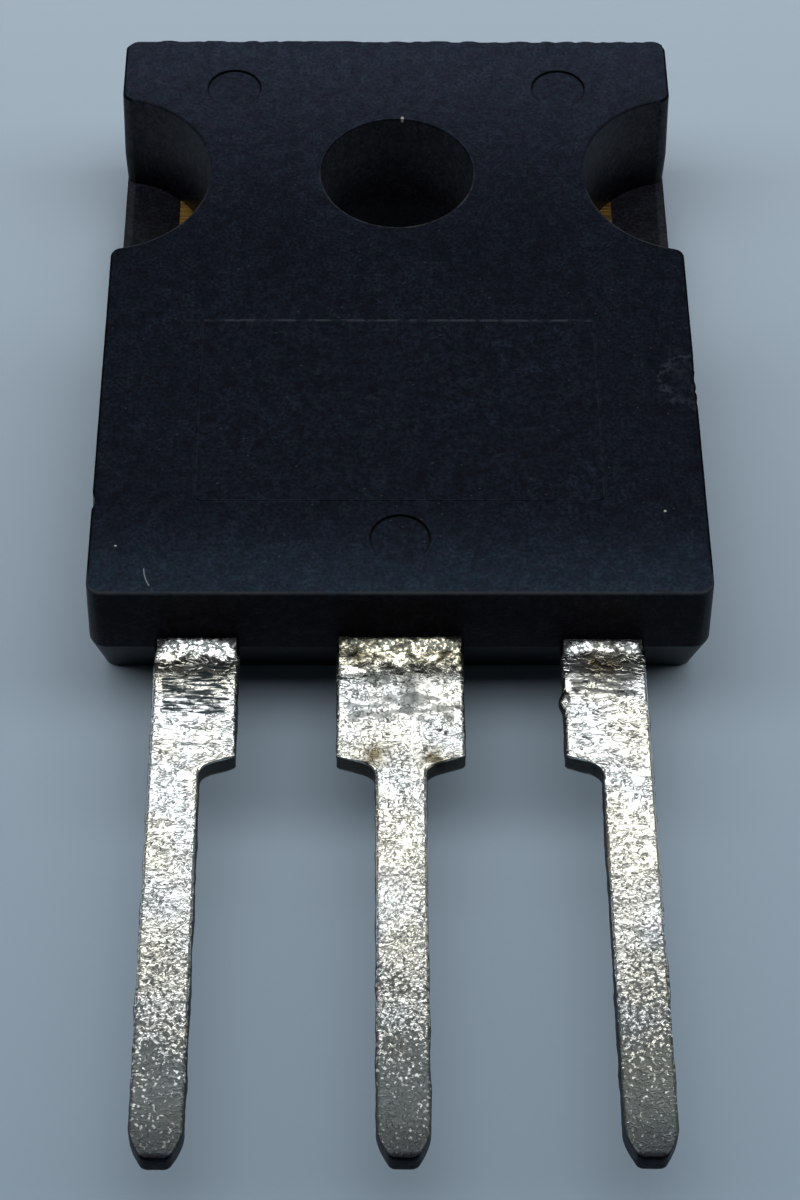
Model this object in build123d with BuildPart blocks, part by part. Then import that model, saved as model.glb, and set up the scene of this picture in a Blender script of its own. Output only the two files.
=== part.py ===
from build123d import *
import os

# A power transistor in a three-lead plastic package with a clip notch in each side.
# All lengths are in millimetres. The origin is where the mounting hole's axis meets the
# heat-sink face, +Z points out of the front face, +Y towards the tab end, and the leads
# point to -Y with the gate on the -X side.

# Epoxy moulding
body_width = 15.48          # across the parting line
body_length = 19.94         # tab end to lead end, at the parting line
body_thickness = 5.0        # heat-sink face to front face
tab_reach = 5.4             # mounting hole axis to the tab end
body_draft = 2.0            # degrees, on every wall, away from the parting line
corner_radius = 0.45        # upright corners
front_edge_radius = 0.14    # round along the front face's outline
heel_setback = 1.5          # lean of the lead end between the parting line and the back

# Mounting hole
hole_diameter = 3.6         # straight stretch, at the back
hole_land = 2.2             # height of the straight stretch
hole_flare = 0.3            # growth of the radius up to the front face
hole_lining = 1.5           # epoxy between the screw and the header

# Clip notches, one in each side
notch_radius = 2.92         # at the front face
notch_offset = 0.28         # centre, outside the body's side
notch_draft = 5.0           # degrees

# Ejector pin marks and the raised field for the marking, on the front face
ejector_radius = 0.75
ejector_depth = 0.05
ejector_spread = 9.1        # between the pair at the tab end
ejector_tab_inset = 2.08    # from the tab end to the pair
ejector_lead_inset = 1.78   # from the lead end to the single mark
field_width = 10.3
field_length = 6.1
field_inset = 2.95          # from the lead end to the field
field_height = 0.03
field_corner_radius = 0.25

# Copper header, the thick end of the drain frame, bare at the back
header_thickness = 2.0
header_side_cover = 1.08    # epoxy beside it
header_tab_cover = 0.9      # epoxy past it at the tab end
header_heel_cover = 1.0     # epoxy past it at the lead end
header_corner_radius = 0.8
header_bevel = 0.5          # coined along the top edges
groove_width = 0.4          # across the top, between the hole and the die
groove_depth = 0.2

# Neck that carries the centre lead up from the header to the other leads' height
neck_flat = 0.3             # straight stretch at both ends of its rise
neck_root = 1.0             # stretch inside the header
neck_bend_radius = 0.4

# Leads
lead_pitch = 5.45
lead_width = 1.23
lead_thickness = 0.6
lead_standoff = 2.6         # heat-sink face to the leads' underside
lead_length = 14.01         # out of the moulding
lead_edge_radius = 0.08
shoulder_length = 3.91      # out of the moulding
shoulder_slope = 0.4        # length of the step down to the lead's width
shoulder_fillet = 0.3
side_shoulder_width = 2.08
centre_shoulder_width = 3.13
tip_length = 0.78           # taper at the end
tip_width = 0.56
tip_fillet = 0.12

# Bond posts, the inner ends of the gate and source leads
post_length = 1.3
post_gap = 0.25             # in plan, past the header's end
post_clearance = 0.5        # to the drain frame's neck
post_overhang = 0.45        # past the lead's outer edge
gate_post_width = 2.8
post_fillet = 0.3

# Silicon die and the solder under it
die_width = 8.0
die_length = 6.0
die_thickness = 0.28
solder_thickness = 0.08
solder_margin = 0.25

# Bond wires
source_wire_count = 3
source_wire_diameter = 0.38
source_bond_inset = 1.0     # from the die's and the post's sides to the outer wires
first_bond_inset = 0.9      # from the die's tab-side edge
stitch_bond_inset = 0.9     # from the die's lead-side edge
gate_wire_diameter = 0.15
gate_bond_inset = 1.0       # from the die's corner
loop_height = 0.75          # above the higher of the two surfaces joined
loop_lean = 0.2             # of the span, from a foot to the loop's shoulder
foot_length_ratio = 2.2     # flattened foot, over the wire's diameter
foot_width_ratio = 1.5
foot_height_ratio = 0.5

# Heights
parting_height = lead_standoff + lead_thickness / 2
lead_top = lead_standoff + lead_thickness
solder_top = header_thickness + solder_thickness
die_top = solder_top + die_thickness

# Places along Y
body_end = tab_reach - body_length
shoulder_end = body_end - shoulder_length
tip_end = body_end - lead_length
header_tab_end = tab_reach - header_tab_cover
header_heel_end = body_end + heel_setback + header_heel_cover
header_hole_radius = hole_diameter / 2 + hole_lining
die_centre_y = (header_heel_end - header_hole_radius) / 2
groove_centre_y = -header_hole_radius - groove_width
post_inner_end = header_heel_end - post_gap
post_outer_end = post_inner_end - post_length
post_bond_y = (post_inner_end + post_outer_end) / 2

# Places along X
header_width = body_width - 2 * header_side_cover
lead_outer_edge = lead_pitch + lead_width / 2
post_outer_edge = lead_outer_edge + post_overhang
source_post_inner_edge = centre_shoulder_width / 2 + post_clearance
source_post_width = post_outer_edge - source_post_inner_edge
notch_centre_x = body_width / 2 + notch_offset
first_wire_x = -die_width / 2 + 2 * gate_bond_inset + source_bond_inset
gate_post_x = -(post_outer_edge - gate_post_width / 2)


def side_corners(edge, step, side):
    """Corners down one side of a lead, from its root to its tip; side is -1 or 1."""
    tip_taper = (lead_width - tip_width) / 2
    corners = [(edge + side * step, post_outer_end)]
    if step:
        corners += [(edge + side * step, shoulder_end + shoulder_slope), (edge, shoulder_end)]
    return corners + [(edge, tip_end + tip_length), (edge - side * tip_taper, tip_end)]


def lead_blade(centre, left_step, right_step):
    """The flat outer length of a lead; each step is how far that shoulder stands out."""
    left_edge = centre - lead_width / 2
    right_edge = centre + lead_width / 2
    steps = [(left_edge, left_step, -1), (right_edge, right_step, 1)]
    left, right = [side_corners(*step) for step in steps]
    with BuildPart() as blade:
        with BuildSketch(Plane.XY.offset(lead_standoff)) as outline:
            with BuildLine():
                Polyline(*left, *reversed(right), close=True)
            make_face()
            for edge, step, side in steps:
                if step:
                    corners = outline.vertices().sort_by_distance((edge, shoulder_end))[:1]
                    outer = (edge + side * step, shoulder_end + shoulder_slope)
                    corners += outline.vertices().sort_by_distance(outer)[:1]
                    fillet(corners, shoulder_fillet)
            fillet(outline.vertices().group_by(Axis.Y)[0], tip_fillet)
        extrude(amount=lead_thickness)
        layers = blade.edges().group_by(Axis.Z)
        long_edges = [layer.sort_by(Axis.Y)[:-1] for layer in (layers[0], layers[-1])]
        fillet(long_edges[0] + long_edges[1], lead_edge_radius)
    return blade


def side_lead(side, post_width):
    """Gate or source lead, a blade with its bond post; side is -1 or 1."""
    step = side_shoulder_width - lead_width
    blade = lead_blade(side * lead_pitch, *((step, 0) if side > 0 else (0, step)))
    post_centre = side * (post_outer_edge - post_width / 2)
    with BuildPart() as lead:
        add(blade.part)
        with BuildSketch(Plane.XY.offset(lead_standoff)) as post:
            with Locations((post_centre, post_outer_end)):
                Rectangle(post_width, post_length, align=(Align.CENTER, Align.MIN))
            fillet(post.vertices(), post_fillet)
        extrude(amount=lead_thickness)
    return lead


def bond_wire(diameter, spots):
    """A wire with a flattened foot on each spot; the spots lie in one line in plan."""
    first, last = Vector(spots[0]), Vector(spots[-1])
    heading = Vector(last.X - first.X, last.Y - first.Y, 0).normalized()
    half_foot = heading * foot_length_ratio * diameter / 2
    lift = Vector(0, 0, foot_height_ratio * diameter)
    route = [first + lift]
    for start, end in zip(spots, spots[1:]):
        heel = Vector(start) + half_foot + lift
        toe = Vector(end) - half_foot + lift
        crown = max(start[2], end[2]) + loop_height
        lean = heading * (toe - heel).length * loop_lean
        rise = Vector(heel.X, heel.Y, crown) + lean
        fall = Vector(toe.X, toe.Y, crown) - lean
        route += [heel, rise, fall, toe]
    route.append(last + lift)
    with BuildPart() as wire:
        with BuildLine() as path:
            FilletPolyline(*route, radius=diameter)
        with BuildSketch(Plane(origin=route[0], z_dir=heading)):
            Circle(diameter / 2)
        sweep(path=path.line)
        for x, y, z in spots:
            with BuildSketch(Plane.XY.offset(z)):
                with Locations(Location((x, y), heading.get_signed_angle(Vector(1, 0, 0)))):
                    SlotOverall(foot_length_ratio * diameter, foot_width_ratio * diameter)
            extrude(amount=foot_height_ratio * diameter)
    return wire


# Drain frame: the header, bare at the back, with the centre lead in the same copper
centre_step = (centre_shoulder_width - lead_width) / 2
centre_blade = lead_blade(0, centre_step, centre_step)
with BuildPart() as drain_frame:
    with BuildSketch() as header_outline:
        with Locations((0, header_heel_end)):
            Rectangle(
                header_width, header_tab_end - header_heel_end, align=(Align.CENTER, Align.MIN)
            )
        fillet(header_outline.vertices(), header_corner_radius)
    extrude(amount=header_thickness)
    chamfer(drain_frame.faces().sort_by(Axis.Z)[-1].edges(), header_bevel)
    Hole(header_hole_radius)
    # Moisture groove across the top, between the hole and the die
    with BuildSketch(Plane.YZ):
        with BuildLine():
            Polyline(
                (groove_centre_y - groove_width / 2, header_thickness),
                (groove_centre_y + groove_width / 2, header_thickness),
                (groove_centre_y, header_thickness - groove_depth),
                close=True,
            )
        make_face()
    extrude(amount=header_width / 2 - header_bevel, both=True, mode=Mode.SUBTRACT)
    with BuildLine(Plane.YZ) as neck:
        FilletPolyline(
            (header_heel_end + neck_root, header_thickness - lead_thickness / 2),
            (header_heel_end - neck_flat, header_thickness - lead_thickness / 2),
            (post_outer_end + neck_flat, parting_height),
            (post_outer_end, parting_height),
            radius=neck_bend_radius,
        )
    with BuildSketch(Plane(origin=neck.line @ 0, x_dir=(1, 0, 0), z_dir=neck.line % 0)):
        Rectangle(centre_shoulder_width, lead_thickness)
    sweep(path=neck.line)
    add(centre_blade.part)

gate_lead = side_lead(-1, gate_post_width)
source_lead = side_lead(1, source_post_width)

# Silicon die on its solder, in the middle of the header's free top
with BuildPart() as die_solder:
    with BuildSketch(Plane.XY.offset(header_thickness)):
        with Locations((0, die_centre_y)):
            Rectangle(die_width + 2 * solder_margin, die_length + 2 * solder_margin)
    extrude(amount=solder_thickness)

with BuildPart() as mosfet_die:
    with BuildSketch(Plane.XY.offset(solder_top)):
        with Locations((0, die_centre_y)):
            Rectangle(die_width, die_length)
    extrude(amount=die_thickness)

# Source wires, each stitched twice to the die and once to the post, fanning out
source_wires = []
for index in range(source_wire_count):
    share = index / (source_wire_count - 1)
    first_x = first_wire_x + share * (die_width / 2 - source_bond_inset - first_wire_x)
    post_x = source_post_inner_edge + source_bond_inset
    post_x += share * (source_post_width - 2 * source_bond_inset)
    first_y = die_centre_y + die_length / 2 - first_bond_inset
    stitch_y = die_centre_y - die_length / 2 + stitch_bond_inset
    fan = (stitch_y - first_y) / (post_bond_y - first_y)
    stitch_x = first_x + fan * (post_x - first_x)
    spots = [
        (first_x, first_y, die_top),
        (stitch_x, stitch_y, die_top),
        (post_x, post_bond_y, lead_top),
    ]
    source_wires.append(bond_wire(source_wire_diameter, spots))

gate_bond = (
    -die_width / 2 + gate_bond_inset,
    die_centre_y - die_length / 2 + gate_bond_inset,
    die_top,
)
gate_wire = bond_wire(gate_wire_diameter, [gate_bond, (gate_post_x, post_bond_y, lead_top)])

# Epoxy moulding around it all
inner_pieces = [drain_frame, gate_lead, source_lead, die_solder, mosfet_die]
inner_pieces += source_wires + [gate_wire]
with BuildPart() as moulded_body:
    with BuildSketch(Plane.XY.offset(parting_height)) as outline:
        with Locations((0, body_end)):
            RectangleRounded(
                body_width, body_length, corner_radius, align=(Align.CENTER, Align.MIN)
            )
    upper_height = body_thickness - parting_height
    extrude(amount=upper_height, taper=body_draft)
    extrude(outline.sketch, amount=-parting_height, taper=body_draft)
    # The lead end leans back below the parting line
    with BuildSketch(Plane.YZ):
        with BuildLine():
            Polyline(
                (body_end, parting_height),
                (body_end + heel_setback, 0),
                (body_end, 0),
                close=True,
            )
        make_face()
    extrude(amount=body_width / 2, both=True, mode=Mode.SUBTRACT)
    # Clip notches down to the header's height
    with BuildSketch(Plane.XY.offset(body_thickness)):
        with Locations((-notch_centre_x, 0), (notch_centre_x, 0)):
            Circle(notch_radius)
    extrude(amount=header_thickness - body_thickness, taper=notch_draft, mode=Mode.SUBTRACT)
    fillet(moulded_body.faces().sort_by(Axis.Z)[-1].edges(), front_edge_radius)
    # Mounting hole, straight at the back and flared at the front
    with BuildSketch(Plane.XZ):
        with BuildLine():
            Polyline(
                (0, 0),
                (hole_diameter / 2, 0),
                (hole_diameter / 2, hole_land),
                (hole_diameter / 2 + hole_flare, body_thickness),
                (0, body_thickness),
                close=True,
            )
        make_face()
    revolve(axis=Axis.Z, mode=Mode.SUBTRACT)
    # Marks of the ejector pins and the raised field for the marking
    with BuildSketch(Plane.XY.offset(body_thickness)):
        with Locations(
            (-ejector_spread / 2, tab_reach - ejector_tab_inset),
            (ejector_spread / 2, tab_reach - ejector_tab_inset),
            (0, body_end + ejector_lead_inset),
        ):
            Circle(ejector_radius)
    extrude(amount=-ejector_depth, mode=Mode.SUBTRACT)
    with BuildSketch(Plane.XY.offset(body_thickness)):
        with Locations((0, body_end + field_inset)):
            RectangleRounded(
                field_width, field_length, field_corner_radius, align=(Align.CENTER, Align.MIN)
            )
    extrude(amount=field_height)
    for piece in inner_pieces:
        add(piece.part, mode=Mode.SUBTRACT)

os.makedirs("parts", exist_ok=True)
nodes = {
    "moulded_body": moulded_body,
    "drain_frame": drain_frame,
    "gate_lead": gate_lead,
    "source_lead": source_lead,
    "mosfet_die": mosfet_die,
    "die_solder": die_solder,
    "gate_wire": gate_wire,
}
for number, wire in enumerate(source_wires, 1):
    nodes[f"source_wire_{number}"] = wire
for name, piece in nodes.items():
    piece.part.label = name
    export_step(piece.part, f"parts/{name}.step")
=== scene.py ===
"""Looks of a power transistor in a three-lead plastic package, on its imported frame.

Lengths are in millimetres until a mesh is made, and one unit of a mesh is a metre.
The front face looks to +Z, the tab end to +Y, and the leads run to -Y.
"""

import math

import bmesh
import bpy
from mathutils import Matrix, Vector, kdtree
from mathutils.geometry import delaunay_2d_cdt


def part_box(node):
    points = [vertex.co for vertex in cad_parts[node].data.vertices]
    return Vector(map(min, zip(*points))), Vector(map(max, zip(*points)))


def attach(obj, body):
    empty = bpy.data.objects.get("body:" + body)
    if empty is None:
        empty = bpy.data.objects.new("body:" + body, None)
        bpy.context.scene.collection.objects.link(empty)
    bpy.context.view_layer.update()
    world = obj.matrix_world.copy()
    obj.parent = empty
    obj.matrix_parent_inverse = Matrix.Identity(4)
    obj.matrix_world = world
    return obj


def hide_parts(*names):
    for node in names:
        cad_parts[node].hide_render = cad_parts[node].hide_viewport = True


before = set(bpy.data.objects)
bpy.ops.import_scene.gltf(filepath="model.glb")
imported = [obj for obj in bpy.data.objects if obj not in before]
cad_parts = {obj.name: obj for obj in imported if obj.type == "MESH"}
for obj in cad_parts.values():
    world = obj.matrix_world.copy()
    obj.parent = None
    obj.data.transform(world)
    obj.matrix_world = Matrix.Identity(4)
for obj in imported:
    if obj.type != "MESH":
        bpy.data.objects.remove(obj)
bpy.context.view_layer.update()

MM = 0.001


# -------------------- sizes from the frame


def box_mm(node):
    """Lowest and highest corner of a CAD node, in millimetres."""
    low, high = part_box(node)
    return low / MM, high / MM


body_low, body_high = box_mm("moulded_body")
gate_low, gate_high = box_mm("gate_lead")

# Moulding
HALF_WIDTH = body_high.x
TAB_END = body_high.y
LEAD_END = body_low.y
FRONT = 5.0
PARTING = (gate_low.z + gate_high.z) / 2
DRAFT = math.tan(math.radians(2.0))
HEEL_SETBACK = 1.5
CORNER_RADIUS = 0.45
FRONT_EDGE_RADIUS = 0.07

# Mounting hole
HOLE_RADIUS = 1.8
HOLE_LAND = 2.2
HOLE_FLARE = 0.3

# Clip notches
NOTCH_RADIUS = 2.92
NOTCH_CENTRE = HALF_WIDTH + 0.28
NOTCH_DRAFT = math.tan(math.radians(5.0))
NOTCH_ROUND = 0.3
LEDGE = 2.0

# Marks on the front face
EJECTOR_RADIUS = 0.75
EJECTOR_DEPTH = 0.05
EJECTOR_PLACES = (
    (-4.55, TAB_END - 2.08),
    (4.55, TAB_END - 2.08),
    (0.0, LEAD_END + 1.78),
)
FIELD_HALF_WIDTH = 5.15
FIELD_LOW = LEAD_END + 2.95
FIELD_HIGH = FIELD_LOW + 6.1
FIELD_HEIGHT = body_high.z - FRONT
FIELD_CORNER = 0.25

# Wear on the front face's edges: a scraped dent and a nick
SCAR_CENTRE = (7.65, -7.6)
SCAR_RADIUS = 1.05
SCAR_FLOOR = 0.84 * SCAR_RADIUS
NICK = (-7.66, -11.55, 4.9)
NICK_RADII = (0.16, 0.28, 0.5)
# Pale specks on the front face: x, y, half width, half length
SPECKS = (
    (0.16, 2.1, 0.055, 0.11),
    (6.6, -11.9, 0.045, 0.045),
    (-7.0, -13.0, 0.045, 0.03),
)
# A curved hair on the front face: its middle, half length and the arc it follows
HAIR_MIDDLE = (-6.2, -13.97)
HAIR_REACH = 0.29
HAIR_BEND = (-5.034, -13.633)
HAIR_BEND_RADIUS = 1.24

# Leads
LEAD_TOP = gate_high.z
LEAD_UNDERSIDE = gate_low.z
LEAD_WIDTH = 1.23
LEAD_PITCH = 5.45
# Where the wide shoulder ends, and the length over which it narrows to the blade
SHOULDER_END = LEAD_END - 3.91
SHOULDER_SLOPE = 0.4
# How far a shoulder stands out: inwards on the outer leads, both ways on the centre one
SIDE_STEP = 0.85
CENTRE_STEP = 0.95
TIP_END = gate_low.y
TIP_LENGTH = 0.78
TIP_TAPER = 0.335
LEAD_EDGE_RADIUS = 0.08
ROOT_CORNER = 0.5


# -------------------- node trees


def add_node(tree, kind, inputs=(), output=0, **settings):
    """Adds a node, sets or links its inputs, and returns one of its outputs."""
    made = tree.nodes.new(kind)
    for name, value in settings.items():
        setattr(made, name, value)
    for key, value in dict(inputs).items():
        if isinstance(value, bpy.types.NodeSocket):
            tree.links.new(value, made.inputs[key])
        else:
            made.inputs[key].default_value = value
    return made.outputs[output]


def calc(tree, operation, *terms):
    """A Math node on numbers or sockets."""
    return add_node(tree, "ShaderNodeMath", enumerate(terms), operation=operation)


def product(tree, *terms):
    """All the terms multiplied together."""
    result = terms[0]
    for term in terms[1:]:
        result = calc(tree, "MULTIPLY", result, term)
    return result


def total(tree, *terms):
    """All the terms added together."""
    result = terms[0]
    for term in terms[1:]:
        result = calc(tree, "ADD", result, term)
    return result


def away_from(tree, value, target):
    """How far a value is from a target."""
    return calc(tree, "ABSOLUTE", calc(tree, "SUBTRACT", value, target))


def rise(tree, value, low, high, to_low=0.0, to_high=1.0):
    """A smooth step from to_low to to_high as value goes from low to high."""
    inputs = {
        "Value": value,
        "From Min": low,
        "From Max": high,
        "To Min": to_low,
        "To Max": to_high,
    }
    return add_node(
        tree, "ShaderNodeMapRange", inputs, interpolation_type="SMOOTHSTEP"
    )


def near_value(tree, value, target, reach, core=0.0):
    """1 where a value is within core of a target, falling to 0 at reach."""
    return rise(tree, away_from(tree, value, target), reach, core)


def signed(tree, value, size):
    """Noise around 0.5 turned into a swing of plus or minus size."""
    centred = calc(tree, "SUBTRACT", value, 0.5)
    return product(tree, centred, 2.0, size)


def vector_calc(tree, operation, *terms, output=0):
    """A Vector Math node on places or colours."""
    terms = enumerate(terms)
    return add_node(tree, "ShaderNodeVectorMath", terms, output, operation=operation)


def stretched(tree, place, factors):
    """A place with each axis multiplied by its own factor."""
    return vector_calc(tree, "MULTIPLY", place, factors)


def scaled(tree, vector, share):
    """A colour or a direction multiplied by one number."""
    inputs = {0: vector, "Scale": share}
    return add_node(tree, "ShaderNodeVectorMath", inputs, operation="SCALE")


def length_of(tree, vector):
    """The length of a vector."""
    return vector_calc(tree, "LENGTH", vector, output=1)


def flattened(tree, place):
    """A place with its height taken out."""
    return stretched(tree, place, (1.0, 1.0, 0.0))


def from_axis(tree, place):
    """Distance from the mounting hole's axis, which passes through the origin."""
    return length_of(tree, flattened(tree, place))


def noise(tree, place, scale, detail=2.0, distortion=0.0, seed=None):
    """Soft noise around 0.5; scale is in cells a millimetre."""
    inputs = {
        "Vector": place,
        "Scale": scale,
        "Detail": detail,
        "Distortion": distortion,
    }
    if seed is None:
        return add_node(tree, "ShaderNodeTexNoise", inputs, noise_dimensions="3D")
    inputs["W"] = seed
    return add_node(tree, "ShaderNodeTexNoise", inputs, noise_dimensions="4D")


def spots(tree, place, scale, low, high):
    """1 inside round spots scattered on a surface, falling to 0 at their rims."""
    inputs = {"Vector": place, "Scale": scale, "Randomness": 1.0}
    distance = add_node(tree, "ShaderNodeTexVoronoi", inputs)
    return rise(tree, distance, high, low)


def axes(tree, place):
    """The three coordinates of a place as sockets."""
    split = tree.nodes.new("ShaderNodeSeparateXYZ")
    tree.links.new(place, split.inputs[0])
    return split.outputs[0], split.outputs[1], split.outputs[2]


def oval(tree, place, centre, radii, softness=0.5):
    """1 inside an oval with the given centre and radii, and 0 outside it."""
    shifted = vector_calc(tree, "SUBTRACT", place, centre)
    length = length_of(tree, vector_calc(tree, "DIVIDE", shifted, radii))
    return rise(tree, length, 1.0, 1.0 - softness)


def worm_lines(tree, place, size, stretch, width, seed):
    """1 in thin wandering grooves and 0 on the solder between them."""
    drawn = stretched(tree, place, (1 / stretch, 1.0, 1.0))
    flow = noise(tree, drawn, 1 / size, detail=1.5, distortion=0.7, seed=seed)
    return near_value(tree, flow, 0.5, width)


def blend(tree, factor, first, second):
    """A colour between two colours."""
    inputs = {0: factor, 6: first, 7: second}
    return add_node(tree, "ShaderNodeMix", inputs, output=2, data_type="RGBA")


def layered(tree, colour, layers):
    """A colour with tones laid over it in turn, each by its own share."""
    for share, tone in layers:
        colour = blend(tree, share, colour, tone)
    return colour


def rgb(red, green, blue):
    """An opaque linear colour."""
    return (red, green, blue, 1.0)


# -------------------- tones

# Moulding compound, its grey films, the painted sheen, highlights and shade on it, and
# the marks on it
# The walls' tone is a little darker than the front's: painted shade
SHADED_WALL_TONE = rgb(0.0022, 0.0024, 0.0040)
FRONT_TONE = rgb(0.0021, 0.0033, 0.0049)
FRONT_FILM = rgb(0.0, 0.0011, 0.0046), rgb(0.0003, 0.0007, 0.0048)
# Painted sheen on the front face at the tab end and at the lead end
TAB_SHEEN = rgb(0.0138, 0.0194, 0.0287), rgb(0.0160, 0.0186, 0.0297)
LEAD_END_SHEEN = rgb(0.0150, 0.0305, 0.0440), rgb(0.0180, 0.0280, 0.0445)
END_WALL_FILM = (0.0045, 0.0042, 0.0056)
# Painted light: the side walls get a paler tone than the front's own, so they read as
# lit as it
SIDE_WALL_LIGHT = (0.0088, 0.0098, 0.0110)
# Dust on the notch ledges and the hole's wall, and painted shade up the notch walls
DUST_AND_LIGHT_FILM = (0.0195, 0.0215, 0.0270)
PIT_TONE = rgb(0.001, 0.001, 0.002)
FILLER_TONE = rgb(0.045, 0.050, 0.056)
# Painted highlights on the marking field's edges
FIELD_TOP_HIGHLIGHT = rgb(0.024, 0.027, 0.035)
FIELD_LOW_HIGHLIGHT = rgb(0.018, 0.022, 0.030)
FIELD_SIDE_HIGHLIGHT = rgb(0.011, 0.014, 0.021)
SCRAPED_TONE = rgb(0.026, 0.028, 0.040)
SPECK_TONE = rgb(0.34, 0.34, 0.32)
HAIR_TONE = rgb(0.15, 0.17, 0.17)
# Painted shade on the ejector marks' walls
RING_SHADE_TONE = rgb(0.0, 0.0, 0.0)
# Painted highlights on the front edge at the leads, on the notches' near sides and on
# the hole's rim
EDGE_HIGHLIGHT_TONE = rgb(0.028, 0.030, 0.034)
NOTCH_HIGHLIGHT_TONE = rgb(0.045, 0.043, 0.045)
RIM_HIGHLIGHT_TONE = rgb(0.050, 0.055, 0.058)
# Painted shade on the side walls' front edges
SIDE_EDGE_SHADE_TONE = rgb(0.0004, 0.0004, 0.0006)

# Solder, from clean tin to burnt flux, and the painted shade on it
TIN_TONES = rgb(0.80, 0.84, 0.86), rgb(0.90, 0.89, 0.79)
YELLOW_TIN_TONE = rgb(0.90, 0.86, 0.62)
GRAINY_TIN_TONE = rgb(0.45, 0.47, 0.45)
# Flux and painted shade in the grooves
GROOVE_FLUX_AND_SHADE_TONE = rgb(0.06, 0.075, 0.075)
SMEAR_TONE = rgb(0.12, 0.135, 0.13)
BURNT_TONE = rgb(0.012, 0.012, 0.012)
# Painted shade on the leads' sides
SIDE_SHADE_TONE = rgb(0.015, 0.016, 0.017)
TIP_TONE = rgb(0.045, 0.05, 0.055)
# Painted shade at the tip's end
TIP_END_SHADE_TONE = rgb(0.008, 0.008, 0.010)

# Bare copper
COPPER_TONES = rgb(0.56, 0.32, 0.08), rgb(0.30, 0.17, 0.045)
BRUSHED_COPPER_TONE = rgb(0.78, 0.55, 0.32)

# What lies inside the moulding
SILICON_TONES = rgb(0.16, 0.17, 0.19), rgb(0.32, 0.33, 0.36)
DIE_SOLDER_TONES = rgb(0.36, 0.37, 0.39), rgb(0.55, 0.56, 0.58)
ALUMINIUM_TONES = rgb(0.70, 0.71, 0.73), rgb(0.86, 0.87, 0.88)


# -------------------- fields shared by shape and finish


def scar_field(tree, place):
    """The dent in the right front edge beside the marking field: its rim and floor."""
    ragged = rise(tree, noise(tree, place, 7.5, detail=3.0, seed=4.0), 0.42, 0.6)
    centre = (*SCAR_CENTRE, FRONT)
    dent = oval(tree, place, centre, (SCAR_RADIUS, SCAR_RADIUS, 1.0), 0.12)
    bed = oval(tree, place, centre, (SCAR_FLOOR, SCAR_FLOOR, 1.0), 0.3)
    rim = calc(tree, "SUBTRACT", dent, bed)
    return product(tree, rim, ragged), product(tree, bed, ragged)


class Coat:
    """How the solder lies on one lead; places are in millimetres."""

    def __init__(self, name, centre, seed, **changes):
        self.name = name
        self.centre = centre
        self.seed = seed
        # How far the shoulder stands out to the left and right of the blade
        self.steps = (CENTRE_STEP, CENTRE_STEP)
        # The wandering grooves
        self.groove_size = 0.17
        self.groove_stretch = 1.7
        self.groove_width = 0.035
        # Where the dull length starts, and how dark it gets at the tip
        self.dull_start = -20.4
        self.dull_gain = 0.31
        # The wiped band's middle and reach, its strength, fineness and tone
        self.drawn_band = (-15.9, 0.75)
        self.drawn_strength = 1.0
        self.drawn_grain = (1.5, 9.0, 1.0)
        self.drawn_dark = rgb(0.012, 0.020, 0.023)
        # Pits, specks, stains and smears: x and y, and a smear's half width and length
        self.pit_strength = 0.3
        self.speckle = 0.4
        self.stains = ()
        self.stain_tone = rgb(0.13, 0.11, 0.06)
        self.smears = ()
        # How yellow the root is
        self.warmth = 0.0
        # A bead of solder, the blobs, and the collar's height and length
        self.bead = (centre, -17.0, LEAD_TOP)
        self.bead_height = 0.0
        self.blob_height = 0.03
        self.collar = (0.16, 0.6)
        for key, value in changes.items():
            setattr(self, key, value)
        left = centre - LEAD_WIDTH / 2 - self.steps[0]
        right = centre + LEAD_WIDTH / 2 + self.steps[1]
        self.middle, self.half_width = (left + right) / 2, (right - left) / 2


COATS = (
    Coat(
        "gate_lead",
        -LEAD_PITCH,
        1.0,
        steps=(0.0, SIDE_STEP),
        groove_stretch=2.2,
        drawn_band=(-16.0, 0.8),
        drawn_grain=(2.2, 15.0, 1.0),
        drawn_dark=rgb(0.018, 0.032, 0.037),
        speckle=0.9,
    ),
    Coat(
        "drain_frame",
        0.0,
        7.0,
        groove_size=0.15,
        groove_stretch=1.1,
        drawn_band=(-16.5, 0.5),
        drawn_strength=0.55,
        drawn_grain=(2.4, 5.5, 1.0),
        drawn_dark=rgb(0.10, 0.115, 0.11),
        warmth=1.0,
        collar=(0.22, 0.95),
        blob_height=0.06,
        smears=((0.2, -16.15, 0.32, 0.9), (-0.55, -15.75, 0.5, 0.3)),
        pit_strength=1.0,
        speckle=1.0,
        stains=((-1.0, -15.1), (1.2, -15.2), (0.75, -18.1), (-0.6, -18.0)),
    ),
    Coat(
        "source_lead",
        LEAD_PITCH,
        13.0,
        steps=(SIDE_STEP, 0.0),
        groove_stretch=1.9,
        dull_start=-19.6,
        dull_gain=0.34,
        drawn_band=(-15.7, 0.6),
        drawn_strength=0.8,
        pit_strength=0.5,
        speckle=0.4,
        stains=((5.0, -15.25),),
        stain_tone=rgb(0.42, 0.32, 0.15),
        bead=(3.93, -16.35, LEAD_TOP - 0.2),
        bead_height=0.12,
        collar=(0.1, 0.4),
        blob_height=0.04,
    ),
)


# How far the wiped band wanders along the leads
WIPE_WANDER = 1.2


def coat_lines(tree, place, coat):
    """The wandering grooves of a coat."""
    return worm_lines(
        tree, place, coat.groove_size, coat.groove_stretch, coat.groove_width, coat.seed
    )


def coat_pits(tree, place, coat):
    """Black pits and crumbs of a coat, fewer away from the shoulder."""
    many = spots(tree, place, 2.8, 0.08, 0.17)
    few = rise(tree, noise(tree, place, 0.9, seed=coat.seed + 2), 0.5, 0.6)
    along = axes(tree, place)[1]
    near = rise(tree, along, SHOULDER_END - 0.5, SHOULDER_END + 1.5, 0.15, 1.0)
    return product(tree, many, few, near, coat.pit_strength)


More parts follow.
